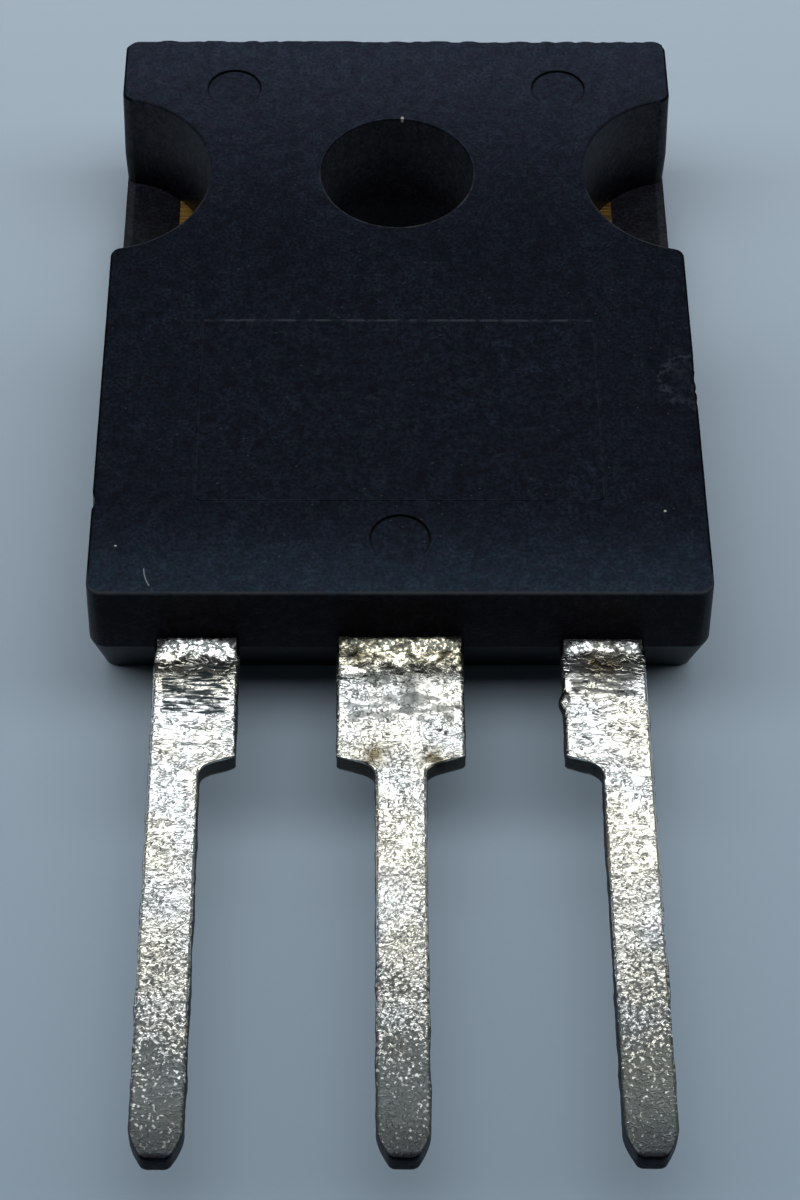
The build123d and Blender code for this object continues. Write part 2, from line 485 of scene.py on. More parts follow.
def drawn_streaks(tree, place, coat):
    """Lines drawn across the shoulder where the solder was wiped."""
    middle, reach = coat.drawn_band
    across, along, _ = axes(tree, place)
    wander = noise(tree, place, 0.8, seed=coat.seed + 5)
    shifted = calc(tree, "ADD", along, calc(tree, "MULTIPLY", wander, WIPE_WANDER))
    off_band = away_from(tree, shifted, middle + WIPE_WANDER / 2)
    band = rise(tree, off_band, reach * 1.5, reach * 0.5)
    beside = away_from(tree, across, coat.middle)
    beside = calc(tree, "ADD", beside, signed(tree, wander, 0.3))
    on_face = rise(tree, beside, coat.half_width - 0.08, coat.half_width - 0.3)
    band = product(tree, band, on_face)
    drawn = stretched(tree, place, coat.drawn_grain)
    lines = noise(tree, drawn, 1.0, detail=3.0, distortion=0.6, seed=coat.seed)
    # Fewer lines are drawn towards the ends of the band
    lines = calc(tree, "ADD", lines, rise(tree, band, 1.0, 0.0, 0.0, 0.3))
    return rise(tree, lines, 0.60, 0.46, 0.0, coat.drawn_strength)


def flux_and_shade_frame(tree, place, coat):
    """1 in the dark round a lead's root, flux and painted shade where it meets the
    moulding: a ragged line, and the root's corners.
    """
    across, along, _ = axes(tree, place)
    beside = away_from(tree, across, coat.middle)
    beside = calc(tree, "SUBTRACT", beside, coat.half_width - ROOT_CORNER)
    beyond = calc(tree, "SUBTRACT", along, LEAD_END - ROOT_CORNER)
    squares = [
        calc(tree, "POWER", calc(tree, "MAXIMUM", gap, 0.0), 2.0)
        for gap in (beside, beyond)
    ]
    from_corner = calc(tree, "SQRT", calc(tree, "ADD", *squares))
    ragged = noise(tree, place, 4.5, detail=3.0, seed=coat.seed + 9)
    from_corner = calc(tree, "ADD", from_corner, signed(tree, ragged, 0.2))
    return product(
        tree,
        rise(tree, from_corner, ROOT_CORNER - 0.18, ROOT_CORNER - 0.06),
        rise(tree, beyond, -0.1, 0.1),
    )


# -------------------- finishes


def new_finish(name, **constants):
    """A material with its shader's plain values set, its tree, and its place in mm."""
    finish = bpy.data.materials.new(name)
    finish.use_nodes = True
    tree = finish.node_tree
    shader = tree.nodes["Principled BSDF"]
    for key, value in constants.items():
        shader.inputs[key.replace("_", " ")].default_value = value
    where = add_node(tree, "ShaderNodeTexCoord", output=3)
    inputs = {"Vector": where, "Scale": (1 / MM, 1 / MM, 1 / MM)}
    return finish, tree, shader, add_node(tree, "ShaderNodeMapping", inputs)


def dress(tree, shader, colour, roughness=None, height=None, depth=0.0):
    """Links a finish's colour, roughness and relief; depth is the relief's, in mm."""
    tree.links.new(colour, shader.inputs["Base Color"])
    if roughness is not None:
        tree.links.new(roughness, shader.inputs["Roughness"])
    if height is not None:
        inputs = {"Height": height, "Distance": depth * MM, "Strength": 1.0}
        relief = add_node(tree, "ShaderNodeBump", inputs)
        tree.links.new(relief, shader.inputs["Normal"])


class Skin:
    """The places and grain on the moulding that its films and marks share."""

    def __init__(self, tree, place):
        self.tree = tree
        self.place = place
        across, self.along, self.up = axes(tree, place)
        self.wide = calc(tree, "ABSOLUTE", across)
        self.on_top = rise(tree, self.up, FRONT - 0.12, FRONT - 0.03)
        self.off_top = calc(tree, "SUBTRACT", 1.0, self.on_top)
        self.grain = noise(tree, place, 11.0)
        self.coarse = noise(tree, place, 4.3)
        self.cloud = noise(tree, place, 0.35, detail=1.0)
        self.mist = noise(tree, place, 2.1, detail=1.0)
        off_middle = calc(tree, "ABSOLUTE", self.along)
        self.in_notches = rise(tree, off_middle, NOTCH_RADIUS + 0.2, NOTCH_RADIUS - 0.2)
        from_edge = add_node(
            tree, "ShaderNodeAttribute", output=2, attribute_name="edge_distance"
        )
        # A line about a tenth of a millimetre wide on the front face's outer edge
        self.edge_line = rise(tree, from_edge, 0.09, 0.03)


def epoxy_grain(skin):
    """The compound's own black, a little bluer in front and darker on the walls as
    painted shade, mottled at four sizes.
    """
    tree = skin.tree
    shade = product(
        tree,
        rise(tree, skin.grain, 0.3, 0.7, 0.2, 1.8),
        rise(tree, skin.coarse, 0.3, 0.7, 0.5, 1.5),
        rise(tree, skin.cloud, 0.3, 0.7, 0.85, 1.15),
        rise(tree, skin.mist, 0.3, 0.7, 0.75, 1.25),
    )
    return scaled(tree, blend(tree, skin.on_top, SHADED_WALL_TONE, FRONT_TONE), shade)


def dust_and_light_places(skin):
    """The clip notches' walls with painted shade, paler towards the top, their dusty
    ledges, and the hole's wall.
    """
    tree = skin.tree
    # Painted shade: the notch walls get paler towards the front face and darker down
    # towards the ledge
    climb = rise(tree, skin.up, LEDGE + 0.2, FRONT - 0.8, 0.0, 0.8)
    walls = product(tree, skin.in_notches, skin.off_top, climb)
    at_ledge = near_value(tree, skin.up, LEDGE, 0.03, 0.01)
    ledges = product(tree, skin.in_notches, at_ledge, 0.16)
    off_axis = from_axis(tree, skin.place)
    in_bore = rise(tree, off_axis, HOLE_RADIUS + 0.5, HOLE_RADIUS + 0.35)
    return total(tree, walls, ledges, product(tree, in_bore, skin.off_top, 0.1))


def grey_films(skin):
    """The thin grey films on the compound, with painted sheen at both ends of the front
    face and painted light on the walls, as shares and tones.
    """
    tree, along, wide = skin.tree, skin.along, skin.wide
    hue = rise(tree, noise(tree, skin.place, 2.6, detail=2.0), 0.36, 0.64)
    # Painted sheen makes the front face lighter at both ends
    at_tab = product(tree, rise(tree, along, -3.0, TAB_END + 2.0), skin.on_top)
    at_leads = rise(tree, along, LEAD_END + 3.0, LEAD_END - 0.3, 0.0, 0.45)
    at_leads = product(tree, at_leads, skin.on_top)
    # The lead end's wall is greyer towards the parting line and below it
    heel = LEAD_END + HEEL_SETBACK
    end_wall = product(
        tree,
        rise(tree, along, heel, heel - 0.2),
        skin.off_top,
        rise(tree, skin.up, PARTING + 1.3, PARTING + 0.1, 0.15, 1.0),
        rise(tree, wide, HALF_WIDTH, HALF_WIDTH - 2.2, 0.75, 1.0),
    )
    # Painted light: the side walls are given a paler tone so they look as lit as the
    # front face
    on_side = rise(tree, wide, HALF_WIDTH - 0.3, HALF_WIDTH - 0.22)
    return (
        (skin.on_top, blend(tree, hue, *FRONT_FILM)),
        (end_wall, END_WALL_FILM),
        (product(tree, on_side, skin.off_top), SIDE_WALL_LIGHT),
        (at_tab, blend(tree, hue, *TAB_SHEEN)),
        (at_leads, blend(tree, hue, *LEAD_END_SHEEN)),
        (dust_and_light_places(skin), DUST_AND_LIGHT_FILM),
    )


def filmed(skin, colour):
    """The compound's colour with its grey films, painted sheen and painted light added.
    """
    tree = skin.tree
    soft_grain = calc(
        tree,
        "MULTIPLY",
        rise(tree, skin.grain, 0.3, 0.7, 0.8, 1.2),
        rise(tree, skin.coarse, 0.3, 0.7, 0.86, 1.14),
    )
    for share, tone in grey_films(skin):
        haze = scaled(tree, tone, product(tree, share, soft_grain))
        colour = vector_calc(tree, "ADD", colour, haze)
    return colour


def pits_and_filler(skin):
    """Black pits, and pale filler grains on the front face."""
    tree, place = skin.tree, skin.place
    pitted = rise(tree, noise(tree, place, 1.1, detail=1.0), 0.46, 0.56)
    pits = product(tree, spots(tree, place, 3.1, 0.06, 0.13), pitted)
    grains = spots(tree, stretched(tree, place, (1.0, 1.6, 1.0)), 2.9, 0.05, 0.12)
    filled = rise(tree, noise(tree, place, 1.27, detail=1.0), 0.48, 0.6, 0.0, 0.6)
    return (
        (product(tree, pits, 0.75), PIT_TONE),
        (product(tree, grains, filled, skin.on_top), FILLER_TONE),
    )


def field_edge_highlights(skin):
    """Painted highlights on the edges of the raised marking field, brightest on its top
    edge and broken in places.
    """
    tree, along, wide = skin.tree, skin.along, skin.wide
    chipped = rise(tree, noise(tree, skin.place, 2.2, detail=3.0), 0.44, 0.54)
    across_field = rise(tree, wide, FIELD_HALF_WIDTH, FIELD_HALF_WIDTH - 0.2)
    top = product(
        tree,
        near_value(tree, along, FIELD_HIGH - 0.02, 0.07, 0.03),
        across_field,
        rise(tree, chipped, 0.0, 1.0, 0.2, 1.0),
    )
    low = product(
        tree,
        near_value(tree, along, FIELD_LOW + 0.007, 0.03, 0.01),
        across_field,
        rise(tree, chipped, 0.0, 1.0, 0.2, 0.6),
    )
    sides = product(
        tree,
        near_value(tree, wide, FIELD_HALF_WIDTH - 0.02, 0.07, 0.02),
        rise(tree, along, FIELD_LOW, FIELD_LOW + 0.2),
        rise(tree, along, FIELD_HIGH, FIELD_HIGH - 0.2),
        rise(tree, chipped, 0.0, 1.0, 0.05, 0.5),
    )
    return (top, FIELD_TOP_HIGHLIGHT), (low, FIELD_LOW_HIGHLIGHT), (sides, FIELD_SIDE_HIGHLIGHT)


def edge_highlights_and_shade(skin):
    """Painted highlights on the front edge at the leads, the notches' near sides and
    the hole's rim, and painted shade on the notches' far sides.
    """
    tree, along = skin.tree, skin.along
    broken = rise(tree, noise(tree, skin.place, 1.35, detail=1.0), 0.3, 0.6, 0.4, 1.0)
    line = product(tree, skin.edge_line, skin.on_top)
    at_leads = rise(tree, along, LEAD_END + 0.9, LEAD_END + 0.4)
    near_side, far_side = rise(tree, along, -0.4, -1.2), rise(tree, along, 0.6, 1.4)
    rim_radius = HOLE_RADIUS + HOLE_FLARE + 0.015
    rim = near_value(tree, from_axis(tree, skin.place), rim_radius, 0.035, 0.01)
    patchy = rise(tree, noise(tree, skin.place, 2.5, detail=3.0), 0.4, 0.6, 0.25, 1.0)
    rim_side = rise(tree, along, 0.8, -1.2, 0.1, 0.6)
    return (
        # Painted highlights on the lead end's edge and the notches' near sides
        (product(tree, line, line, broken, at_leads), EDGE_HIGHLIGHT_TONE),
        (product(tree, line, skin.in_notches, near_side, broken, 0.6), NOTCH_HIGHLIGHT_TONE),
        # Painted shade: a dark line on the notches' far sides, in the pits' tone; then
        # a painted highlight on the hole's rim, stronger towards the leads
        (product(tree, line, skin.in_notches, far_side, 0.6), PIT_TONE),
        (product(tree, rim, skin.on_top, patchy, rim_side), RIM_HIGHLIGHT_TONE),
    )


def hair_line(skin):
    """1 on a fine curved hair that lies on the front face."""
    tree = skin.tree
    shifted = vector_calc(tree, "SUBTRACT", skin.place, (*HAIR_BEND, FRONT))
    line = near_value(tree, from_axis(tree, shifted), HAIR_BEND_RADIUS, 0.022, 0.008)
    radii = (HAIR_REACH, HAIR_REACH, 0.5)
    stretch = oval(tree, skin.place, (*HAIR_MIDDLE, FRONT), radii, 0.1)
    return product(tree, line, stretch)


def ring_shade(skin, centre):
    """1 on a painted shade line round an ejector mark's sunk wall, darkest on its tab
    side and fainter towards the leads.
    """
    tree = skin.tree
    shifted = vector_calc(tree, "SUBTRACT", skin.place, (*centre, FRONT))
    flat = flattened(tree, shifted)
    line = near_value(tree, length_of(tree, flat), EJECTOR_RADIUS - 0.01, 0.045, 0.015)
    ragged = calc(tree, "MULTIPLY", skin.mist, 1.2)
    shaded_side = calc(tree, "ADD", axes(tree, flat)[1], ragged)
    return product(tree, line, rise(tree, shaded_side, 0.0, 1.0, 0.25, 1.0))


def scrapes_and_marks(skin):
    """The scraped dent, pale specks, a hair, and painted shade rings on the ejector
    marks.
    """
    tree, place = skin.tree, skin.place
    rim, bed = scar_field(tree, place)
    scraped = calc(tree, "ADD", product(tree, rim, 0.75), product(tree, bed, 0.25))
    layers = [(scraped, SCRAPED_TONE)]
    for x, y, half_width, half_length in SPECKS:
        radii = (half_width, half_length, 0.16)
        layers.append((oval(tree, place, (x, y, FRONT), radii), SPECK_TONE))
    layers.append((hair_line(skin), HAIR_TONE))
    # Painted shade round each ejector mark's wall
    for centre in EJECTOR_PLACES:
        layers.append((product(tree, ring_shade(skin, centre), 0.88), RING_SHADE_TONE))
    return layers


def side_edge_shade(skin):
    """1 on the front edges of the side walls, which are dead matt and painted near
    black as painted shade.
    """
    return product(
        skin.tree,
        rise(skin.tree, skin.wide, HALF_WIDTH - 0.45, HALF_WIDTH - 0.25),
        rise(skin.tree, skin.along, LEAD_END + 0.5, LEAD_END + 0.9),
        skin.edge_line,
    )


def epoxy_finish():
    """Matt black moulding compound with filler grain, grey films, painted sheen, and
    painted highlights and shade on its edges and marks.
    """
    finish, tree, shader, place = new_finish("black_epoxy", Specular_IOR_Level=0.065)
    skin = Skin(tree, place)
    colour = filmed(skin, epoxy_grain(skin))
    for layers in (pits_and_filler, field_edge_highlights, edge_highlights_and_shade, scrapes_and_marks):
        colour = layered(tree, colour, layers(skin))
    matt = side_edge_shade(skin)
    # Painted shade: the side walls' front edges are made near black
    colour = blend(tree, product(tree, matt, 0.9), colour, SIDE_EDGE_SHADE_TONE)
    rough = calc(tree, "MAXIMUM", rise(tree, skin.cloud, 0.2, 0.8, 0.38, 0.5), matt)
    dress(tree, shader, colour, rough, skin.grain, depth=0.008)
    return finish


class Solder:
    """The places, grooves and dulling on one coat that its layers share."""

    def __init__(self, tree, place, coat):
        self.tree = tree
        self.place = place
        self.coat = coat
        _, self.along, self.up = axes(tree, place)
        self.lines = coat_lines(tree, place, coat)
        self.wiped = drawn_streaks(tree, place, coat)
        thick = noise(tree, place, 1.1, detail=2.0, seed=coat.seed)
        self.patches = rise(tree, thick, 0.42, 0.6)
        self.dull = rise(tree, self.along, coat.dull_start, TIP_END - 0.1)


def tin_tone(solder):
    """The clean solder's tone, yellower at a warm root, with grain and flux stains."""
    tree, place, coat = solder.tree, solder.place, solder.coat
    grain = noise(tree, place, 14.0, detail=3.0, seed=coat.seed)
    tint = noise(tree, place, 0.7, detail=1.0, seed=coat.seed + 8)
    colour = blend(tree, rise(tree, tint, 0.35, 0.65), *TIN_TONES)
    yellow = rise(tree, solder.along, LEAD_END - 1.3, LEAD_END - 0.4, 0.0, coat.warmth)
    layers = [
        (yellow, YELLOW_TIN_TONE),
        (rise(tree, grain, 0.42, 0.7, 0.0, 0.5), GRAINY_TIN_TONE),
    ]
    for stain in coat.stains:
        ragged = rise(tree, noise(tree, place, 3.0, seed=3.0), 0.4, 0.6, 0.4, 1.0)
        patch = oval(tree, place, (*stain, LEAD_TOP), (0.75, 0.5, 1.0), 0.8)
        layers.append((product(tree, patch, ragged, 0.95), coat.stain_tone))
    return layered(tree, colour, layers)


def dark_specks(solder):
    """1 in grooves and specks, from a few on the shoulder to a dull mottled tip; the
    grooves' dark is partly flux and partly painted shade.
    """
    tree, coat, dull = solder.tree, solder.coat, solder.dull
    mottle = noise(tree, solder.place, 11.0, detail=3.0, seed=coat.seed + 1)
    fouled = rise(tree, solder.along, LEAD_END - 0.9, LEAD_END - 0.1, 0.0, 0.21)
    level = total(
        tree,
        calc(tree, "MULTIPLY", dull, coat.dull_gain),
        fouled,
        product(tree, solder.patches, 0.06 * coat.speckle),
    )
    level = calc(tree, "SUBTRACT", 0.68, level)
    specks = rise(tree, calc(tree, "SUBTRACT", mottle, level), -0.03, 0.06)
    # Grooves show less where the solder is thick and clean, and at the dull tip
    groove = product(
        tree,
        solder.lines,
        rise(tree, solder.patches, 0.0, 1.0, 0.45, 1.0),
        rise(tree, dull, 0.0, 1.0, 1.0, 0.3),
    )
    return calc(tree, "MAXIMUM", groove, specks)


def wiped_layers(solder):
    """The tones of the wiped lines and of smears of old flux."""
    tree, place = solder.tree, solder.place
    layers = [(product(tree, solder.wiped, 0.95), solder.coat.drawn_dark)]
    for x, y, half_width, half_length in solder.coat.smears:
        radii = (half_width, half_length, 1.0)
        patch = oval(tree, place, (x, y, LEAD_TOP), radii, 0.6)
        torn = noise(tree, place, 3.5, detail=3.0, seed=21.0)
        torn = rise(tree, torn, 0.3, 0.5, 0.5, 1.0)
        layers.append((product(tree, patch, torn, 0.85), SMEAR_TONE))
    return layers


def side_shade(solder):
    """1 on a lead's sides under their upper edge, painted dark as painted shade."""
    tree, up = solder.tree, solder.up
    wander = signed(tree, noise(tree, solder.place, 3.0, seed=2.0), 0.12)
    ragged = calc(tree, "ADD", up, wander)
    return product(
        tree,
        rise(tree, up, LEAD_TOP - 0.025, LEAD_TOP - 0.07),
        rise(tree, ragged, LEAD_UNDERSIDE - 0.1, LEAD_UNDERSIDE + 0.1),
    )


def burnt_layers(solder, side):
    """The black crumbs, the flux and painted shade at the root, painted shade on the
    sides, and the dark tip with painted shade at its end.
    """
    tree, along = solder.tree, solder.along
    root = flux_and_shade_frame(tree, solder.place, solder.coat)
    return (
        (coat_pits(tree, solder.place, solder.coat), BURNT_TONE),
        # Flux and painted shade where the lead meets the moulding
        (product(tree, root, 0.95), BURNT_TONE),
        # Painted shade on the sides
        (product(tree, side, 0.95), SIDE_SHADE_TONE),
        (rise(tree, along, TIP_END + 1.7, TIP_END + 0.1, 0.0, 0.8), TIP_TONE),
        # Painted shade on the tip's last fifth of a millimetre and its end
        (rise(tree, along, TIP_END + 0.22, TIP_END + 0.08), TIP_END_SHADE_TONE),
    )


def solder_roughness(solder, dark, side):
    """Bright where clean, duller in dark places, at the tip and on the shaded sides."""
    tree = solder.tree
    dark = calc(tree, "MAXIMUM", dark, solder.wiped)
    rough = calc(
        tree,
        "MAXIMUM",
        rise(tree, dark, 0.0, 1.0, 0.2, 0.38),
        calc(tree, "MULTIPLY", solder.dull, 0.34),
    )
    return calc(tree, "MAXIMUM", rough, calc(tree, "MULTIPLY", side, 0.6))


def solder_relief(solder):
    """Wrinkles where the solder is thick, cut by its grooves, and grit at the tip."""
    tree, place, seed = solder.tree, solder.place, solder.coat.seed
    drawn = stretched(tree, place, (0.6, 1.0, 1.0))
    wrinkle = noise(tree, drawn, 7.5, detail=2.0, seed=seed)
    wrinkle = product(tree, wrinkle, rise(tree, solder.patches, 0.0, 1.0, 0.35, 1.0))
    height = calc(tree, "SUBTRACT", wrinkle, product(tree, solder.lines, 0.4))
    gritty = noise(tree, place, 15.0, detail=2.0, seed=seed + 4)
    return calc(tree, "ADD", height, product(tree, gritty, solder.dull, 0.9))


def solder_finish(coat):
    """Bright tin solder with dark wandering grooves, pits, wiped streaks and flux, and
    painted shade in its grooves, on its sides, at its root and at its tip's end.
    """
    finish, tree, shader, place = new_finish(f"solder_{coat.name}", Metallic=1.0)
    solder = Solder(tree, place, coat)
    dark, side = dark_specks(solder), side_shade(solder)
    # Grooves and specks: flux partly, and painted shade in the grooves
    layers = [(product(tree, dark, 0.9), GROOVE_FLUX_AND_SHADE_TONE)]
    layers += wiped_layers(solder)
    layers += burnt_layers(solder, side)
    colour = layered(tree, tin_tone(solder), layers)
    rough = solder_roughness(solder, dark, side)
    dress(tree, shader, colour, rough, solder_relief(solder), depth=0.014)
    return finish


def copper_finish():
    """Bare copper alloy of the header, faintly brushed and tarnished."""
    finish, tree, shader, place = new_finish("header_copper", Metallic=1.0)
    brushed = noise(tree, stretched(tree, place, (1.0, 14.0, 1.0)), 1.2, detail=3.0)
    tarnish = noise(tree, place, 1.1, detail=4.0, seed=3.0)
    colour = blend(tree, rise(tree, tarnish, 0.4, 0.65), *COPPER_TONES)
    bright = rise(tree, brushed, 0.6, 0.75, 0.0, 0.5)
    colour = blend(tree, bright, colour, BRUSHED_COPPER_TONE)
    rough = rise(tree, brushed, 0.3, 0.7, 0.3, 0.48)
    dress(tree, shader, colour, rough, brushed, depth=0.004)
    return finish


def silicon_finish():
    """Dark polished silicon of the die."""
    finish, tree, shader, place = new_finish("die_silicon", Metallic=0.8)
    fine = noise(tree, place, 5.0, detail=2.0)
    rough = rise(tree, fine, 0.3, 0.7, 0.15, 0.3)
    dress(tree, shader, blend(tree, fine, *SILICON_TONES), rough)
    return finish


def soft_solder_finish():
    """Dull grey solder under the die."""
    finish, tree, shader, place = new_finish("die_solder_grey", Metallic=1.0)
    lumps = noise(tree, place, 3.0, detail=3.0)
    rough = rise(tree, lumps, 0.3, 0.7, 0.35, 0.55)
    dress(tree, shader, blend(tree, lumps, *DIE_SOLDER_TONES), rough, lumps, depth=0.01)
    return finish


def aluminium_finish():
    """Drawn aluminium bond wire."""
    finish, tree, shader, place = new_finish("bond_aluminium", Metallic=1.0)
    drawn = noise(tree, stretched(tree, place, (8.0, 1.0, 8.0)), 1.5, detail=2.0)
    rough = rise(tree, drawn, 0.3, 0.7, 0.25, 0.4)
    dress(tree, shader, blend(tree, drawn, *ALUMINIUM_TONES), rough, drawn, depth=0.004)
    return finish


# -------------------- geometry node trees


def new_rule(name, sizes):
    """A geometry tree with named inputs, its input node and its output node."""
    tree = bpy.data.node_groups.new(name, "GeometryNodeTree")
    face = tree.interface
    face.new_socket("Geometry", in_out="INPUT", socket_type="NodeSocketGeometry")
    for label in sizes:
        face.new_socket(label, in_out="INPUT", socket_type="NodeSocketFloat")
    face.new_socket("Finish", in_out="INPUT", socket_type="NodeSocketMaterial")
    face.new_socket("Geometry", in_out="OUTPUT", socket_type="NodeSocketGeometry")
    entry = tree.nodes.new("NodeGroupInput")
    result = tree.nodes.new("NodeGroupOutput")
    return tree, entry, result


def close_rule(tree, entry, result, shape):
    """Ends a tree in Realize Instances and Set Material."""
    shape = add_node(tree, "GeometryNodeRealizeInstances", {"Geometry": shape})
    inputs = {"Geometry": shape, "Material": entry.outputs["Finish"]}
    shape = add_node(tree, "GeometryNodeSetMaterial", inputs)
    tree.links.new(shape, result.inputs["Geometry"])


def push_out(tree, entry, height):
    """Moves every point along its normal by a height in millimetres."""
    normal = add_node(tree, "GeometryNodeInputNormal")
    offset = scaled(tree, normal, calc(tree, "MULTIPLY", height, MM))
    inputs = {"Geometry": entry.outputs["Geometry"], "Offset": offset}
    return add_node(tree, "GeometryNodeSetPosition", inputs)


def place_mm(tree):
    """Each point's place, in millimetres."""
    here = add_node(tree, "GeometryNodeInputPosition")
    return stretched(tree, here, (1 / MM, 1 / MM, 1 / MM))


def sized_noise(tree, place, size, **settings):
    """Noise whose cells have a size in millimetres."""
    return noise(tree, place, calc(tree, "DIVIDE", 1.0, size), **settings)


def apply_rule(piece, tree, sizes, finish):
    """Runs a tree on a piece and keeps the result as the piece's plain mesh."""
    modifier = piece.modifiers.new(tree.name, "NODES")
    modifier.node_group = tree
    for item in tree.interface.items_tree:
        if item.in_out == "INPUT" and item.name in sizes:
            modifier[item.identifier] = sizes[item.name]
        if item.in_out == "INPUT" and item.name == "Finish":
            modifier[item.identifier] = finish
    make_plain(piece)


def make_plain(piece):
    """Turns a piece's modifiers into its plain mesh."""
    graph = bpy.context.evaluated_depsgraph_get()
    mesh = bpy.data.meshes.new_from_object(
        piece.evaluated_get(graph), preserve_all_data_layers=True, depsgraph=graph
    )
    piece.modifiers.clear()
    piece.data = mesh
    mesh.name = piece.name


WEAR = {
    "Wave Height": 0.006,
    "Wave Size": 1.6,
    "Chip Depth": 0.035,
    "Chip Size": 0.45,
    "Scar Depth": 0.06,
    "Nick Depth": 0.07,
}


def edge_chips(tree, place, size):
    """Depth of the chips along the front edge, deeper at the tab end."""
    inputs = {"Name": "edge_distance"}
    from_edge = add_node(
        tree, "GeometryNodeInputNamedAttribute", inputs, data_type="FLOAT"
    )
    rim = rise(tree, from_edge, 0.3, 0.03)
    chips = sized_noise(tree, place, size["Chip Size"], detail=2.5, seed=5.0)
    at_tab = rise(tree, axes(tree, place)[1], TAB_END - 0.6, TAB_END - 0.2)
    threshold = rise(tree, at_tab, 0.0, 1.0, 0.6, 0.42)
    chipped = rise(tree, calc(tree, "SUBTRACT", chips, threshold), 0.0, 0.16)
    return product(tree, chipped, rim, size["Chip Depth"])


def scar_depth(tree, place, size):
    """Depth of the scraped dent, which is rough inside."""
    rough = noise(tree, place, 4.0, detail=3.0, seed=8.0)
    torn = rise(tree, rough, 0.25, 0.7, 0.5, 1.0)
    return product(tree, scar_field(tree, place)[1], torn, size["Scar Depth"])


def wear_rule():
    """Faint waves on the moulding, chips on its front edge, a dent and a nick."""
    tree, entry, result = new_rule("moulding_wear", WEAR)
    size = {name: entry.outputs[name] for name in WEAR}
    place = place_mm(tree)
    waves = sized_noise(tree, place, size["Wave Size"])
    height = signed(tree, waves, size["Wave Height"])
    nick = oval(tree, place, NICK, NICK_RADII, 0.7)
    for depth in (
        edge_chips(tree, place, size),
        scar_depth(tree, place, size),
        product(tree, nick, size["Nick Depth"]),
    ):
        height = calc(tree, "SUBTRACT", height, depth)
    # The back, which lies on a heat sink, stays flat
    upper = rise(tree, axes(tree, place)[2], LEDGE + 0.05, LEDGE + 0.4)
    close_rule(tree, entry, result, push_out(tree, entry, product(tree, height, upper)))
    return tree


COATING = {
    "Lump Height": 0.014,
    "Lump Size": 1.1,
    "Ripple Height": 0.004,
    "Ripple Size": 0.35,
    "Groove Depth": 0.01,
    "Pit Depth": 0.04,
    "Bead Height": 0.0,
    "Collar Height": 0.0,
    "Collar Length": 0.5,
    "Blob Height": 0.03,
    "Blob Size": 0.42,
    "Side Wave Height": 0.07,
    "Side Wave Size": 0.8,
}


def collar_height(tree, place, coat, out, size):
    """A ragged collar that climbs towards the moulding."""
    drawn = stretched(tree, place, (1.0, 0.3, 1.0))
    ragged = noise(tree, drawn, 2.2, seed=coat.seed + 6)
    reach = rise(tree, ragged, 0.3, 0.7, 0.7, 1.3)
    reach = calc(tree, "MULTIPLY", size["Collar Length"], reach)
    climb = calc(tree, "SUBTRACT", 1.0, calc(tree, "DIVIDE", out, reach))
    return calc(tree, "MAXIMUM", climb, 0.0)


def coating_rule(coat):
    """Lumps, ripples, grooves and pits of the solder on one lead."""
    tree, entry, result = new_rule(f"solder_coat_{coat.name}", COATING)
    size = {name: entry.outputs[name] for name in COATING}
    place = place_mm(tree)

    def swell(form, seed):
        """Ups and downs of one form, such as Lump, with its own size and height."""
        raw = sized_noise(tree, place, size[f"{form} Size"], seed=coat.seed + seed)
        return signed(tree, raw, size[f"{form} Height"])

    along = axes(tree, place)[1]
    out = calc(tree, "SUBTRACT", LEAD_END, along)
    facing = axes(tree, add_node(tree, "GeometryNodeInputNormal"))[2]
    on_top = rise(tree, facing, 0.75, 0.98)
    on_side = rise(tree, calc(tree, "ABSOLUTE", facing), 0.7, 0.1)
    height = calc(tree, "ADD", swell("Lump", 0), swell("Ripple", 3))
    grooves = product(tree, coat_lines(tree, place, coat), size["Groove Depth"])
    height = calc(tree, "SUBTRACT", height, grooves)
    pits = product(tree, coat_pits(tree, place, coat), size["Pit Depth"])
    height = calc(tree, "SUBTRACT", height, pits)
    bead = oval(tree, place, coat.bead, (0.3, 0.35, 0.4), 0.9)
    collar = collar_height(tree, place, coat, out, size)
    # Blobs lie where the solder stopped short of the moulding, and the sides wave
    height = total(
        tree,
        height,
        product(tree, bead, size["Bead Height"]),
        product(tree, collar, on_top, size["Collar Height"]),
        product(tree, swell("Blob", 11), rise(tree, out, 1.6, 0.5), on_top),
        product(tree, swell("Side Wave", 13), on_side),
    )
    # The coat starts at the moulding and thins towards the unwetted tip
    started = rise(tree, along, LEAD_END - 0.01, LEAD_END - 0.06)
    wetted = rise(tree, along, TIP_END + 0.4, TIP_END + 2.4, 0.35, 1.0)
    height = product(tree, height, started, wetted)
    close_rule(tree, entry, result, push_out(tree, entry, height))
    return tree


# -------------------- meshes


# The triangulation's setting that keeps only what its rings enclose
INSIDE_ONLY = 1
# Points closer than these are one, in millimetres
MERGE, CAD_MERGE = 0.0005, 0.001


def merge_points(mesh, distance):
    """Joins a mesh's points that are closer than a distance in millimetres."""
    form = bmesh.new()
    form.from_mesh(mesh)
    bmesh.ops.remove_doubles(form, verts=form.verts, dist=distance * MM)
    form.to_mesh(mesh)
    form.free()


def add_object(name, data):
    """Puts a mesh, a light or a camera in the scene as an object."""
    made = bpy.data.objects.new(name, data)
    bpy.context.scene.collection.objects.link(made)
    return made


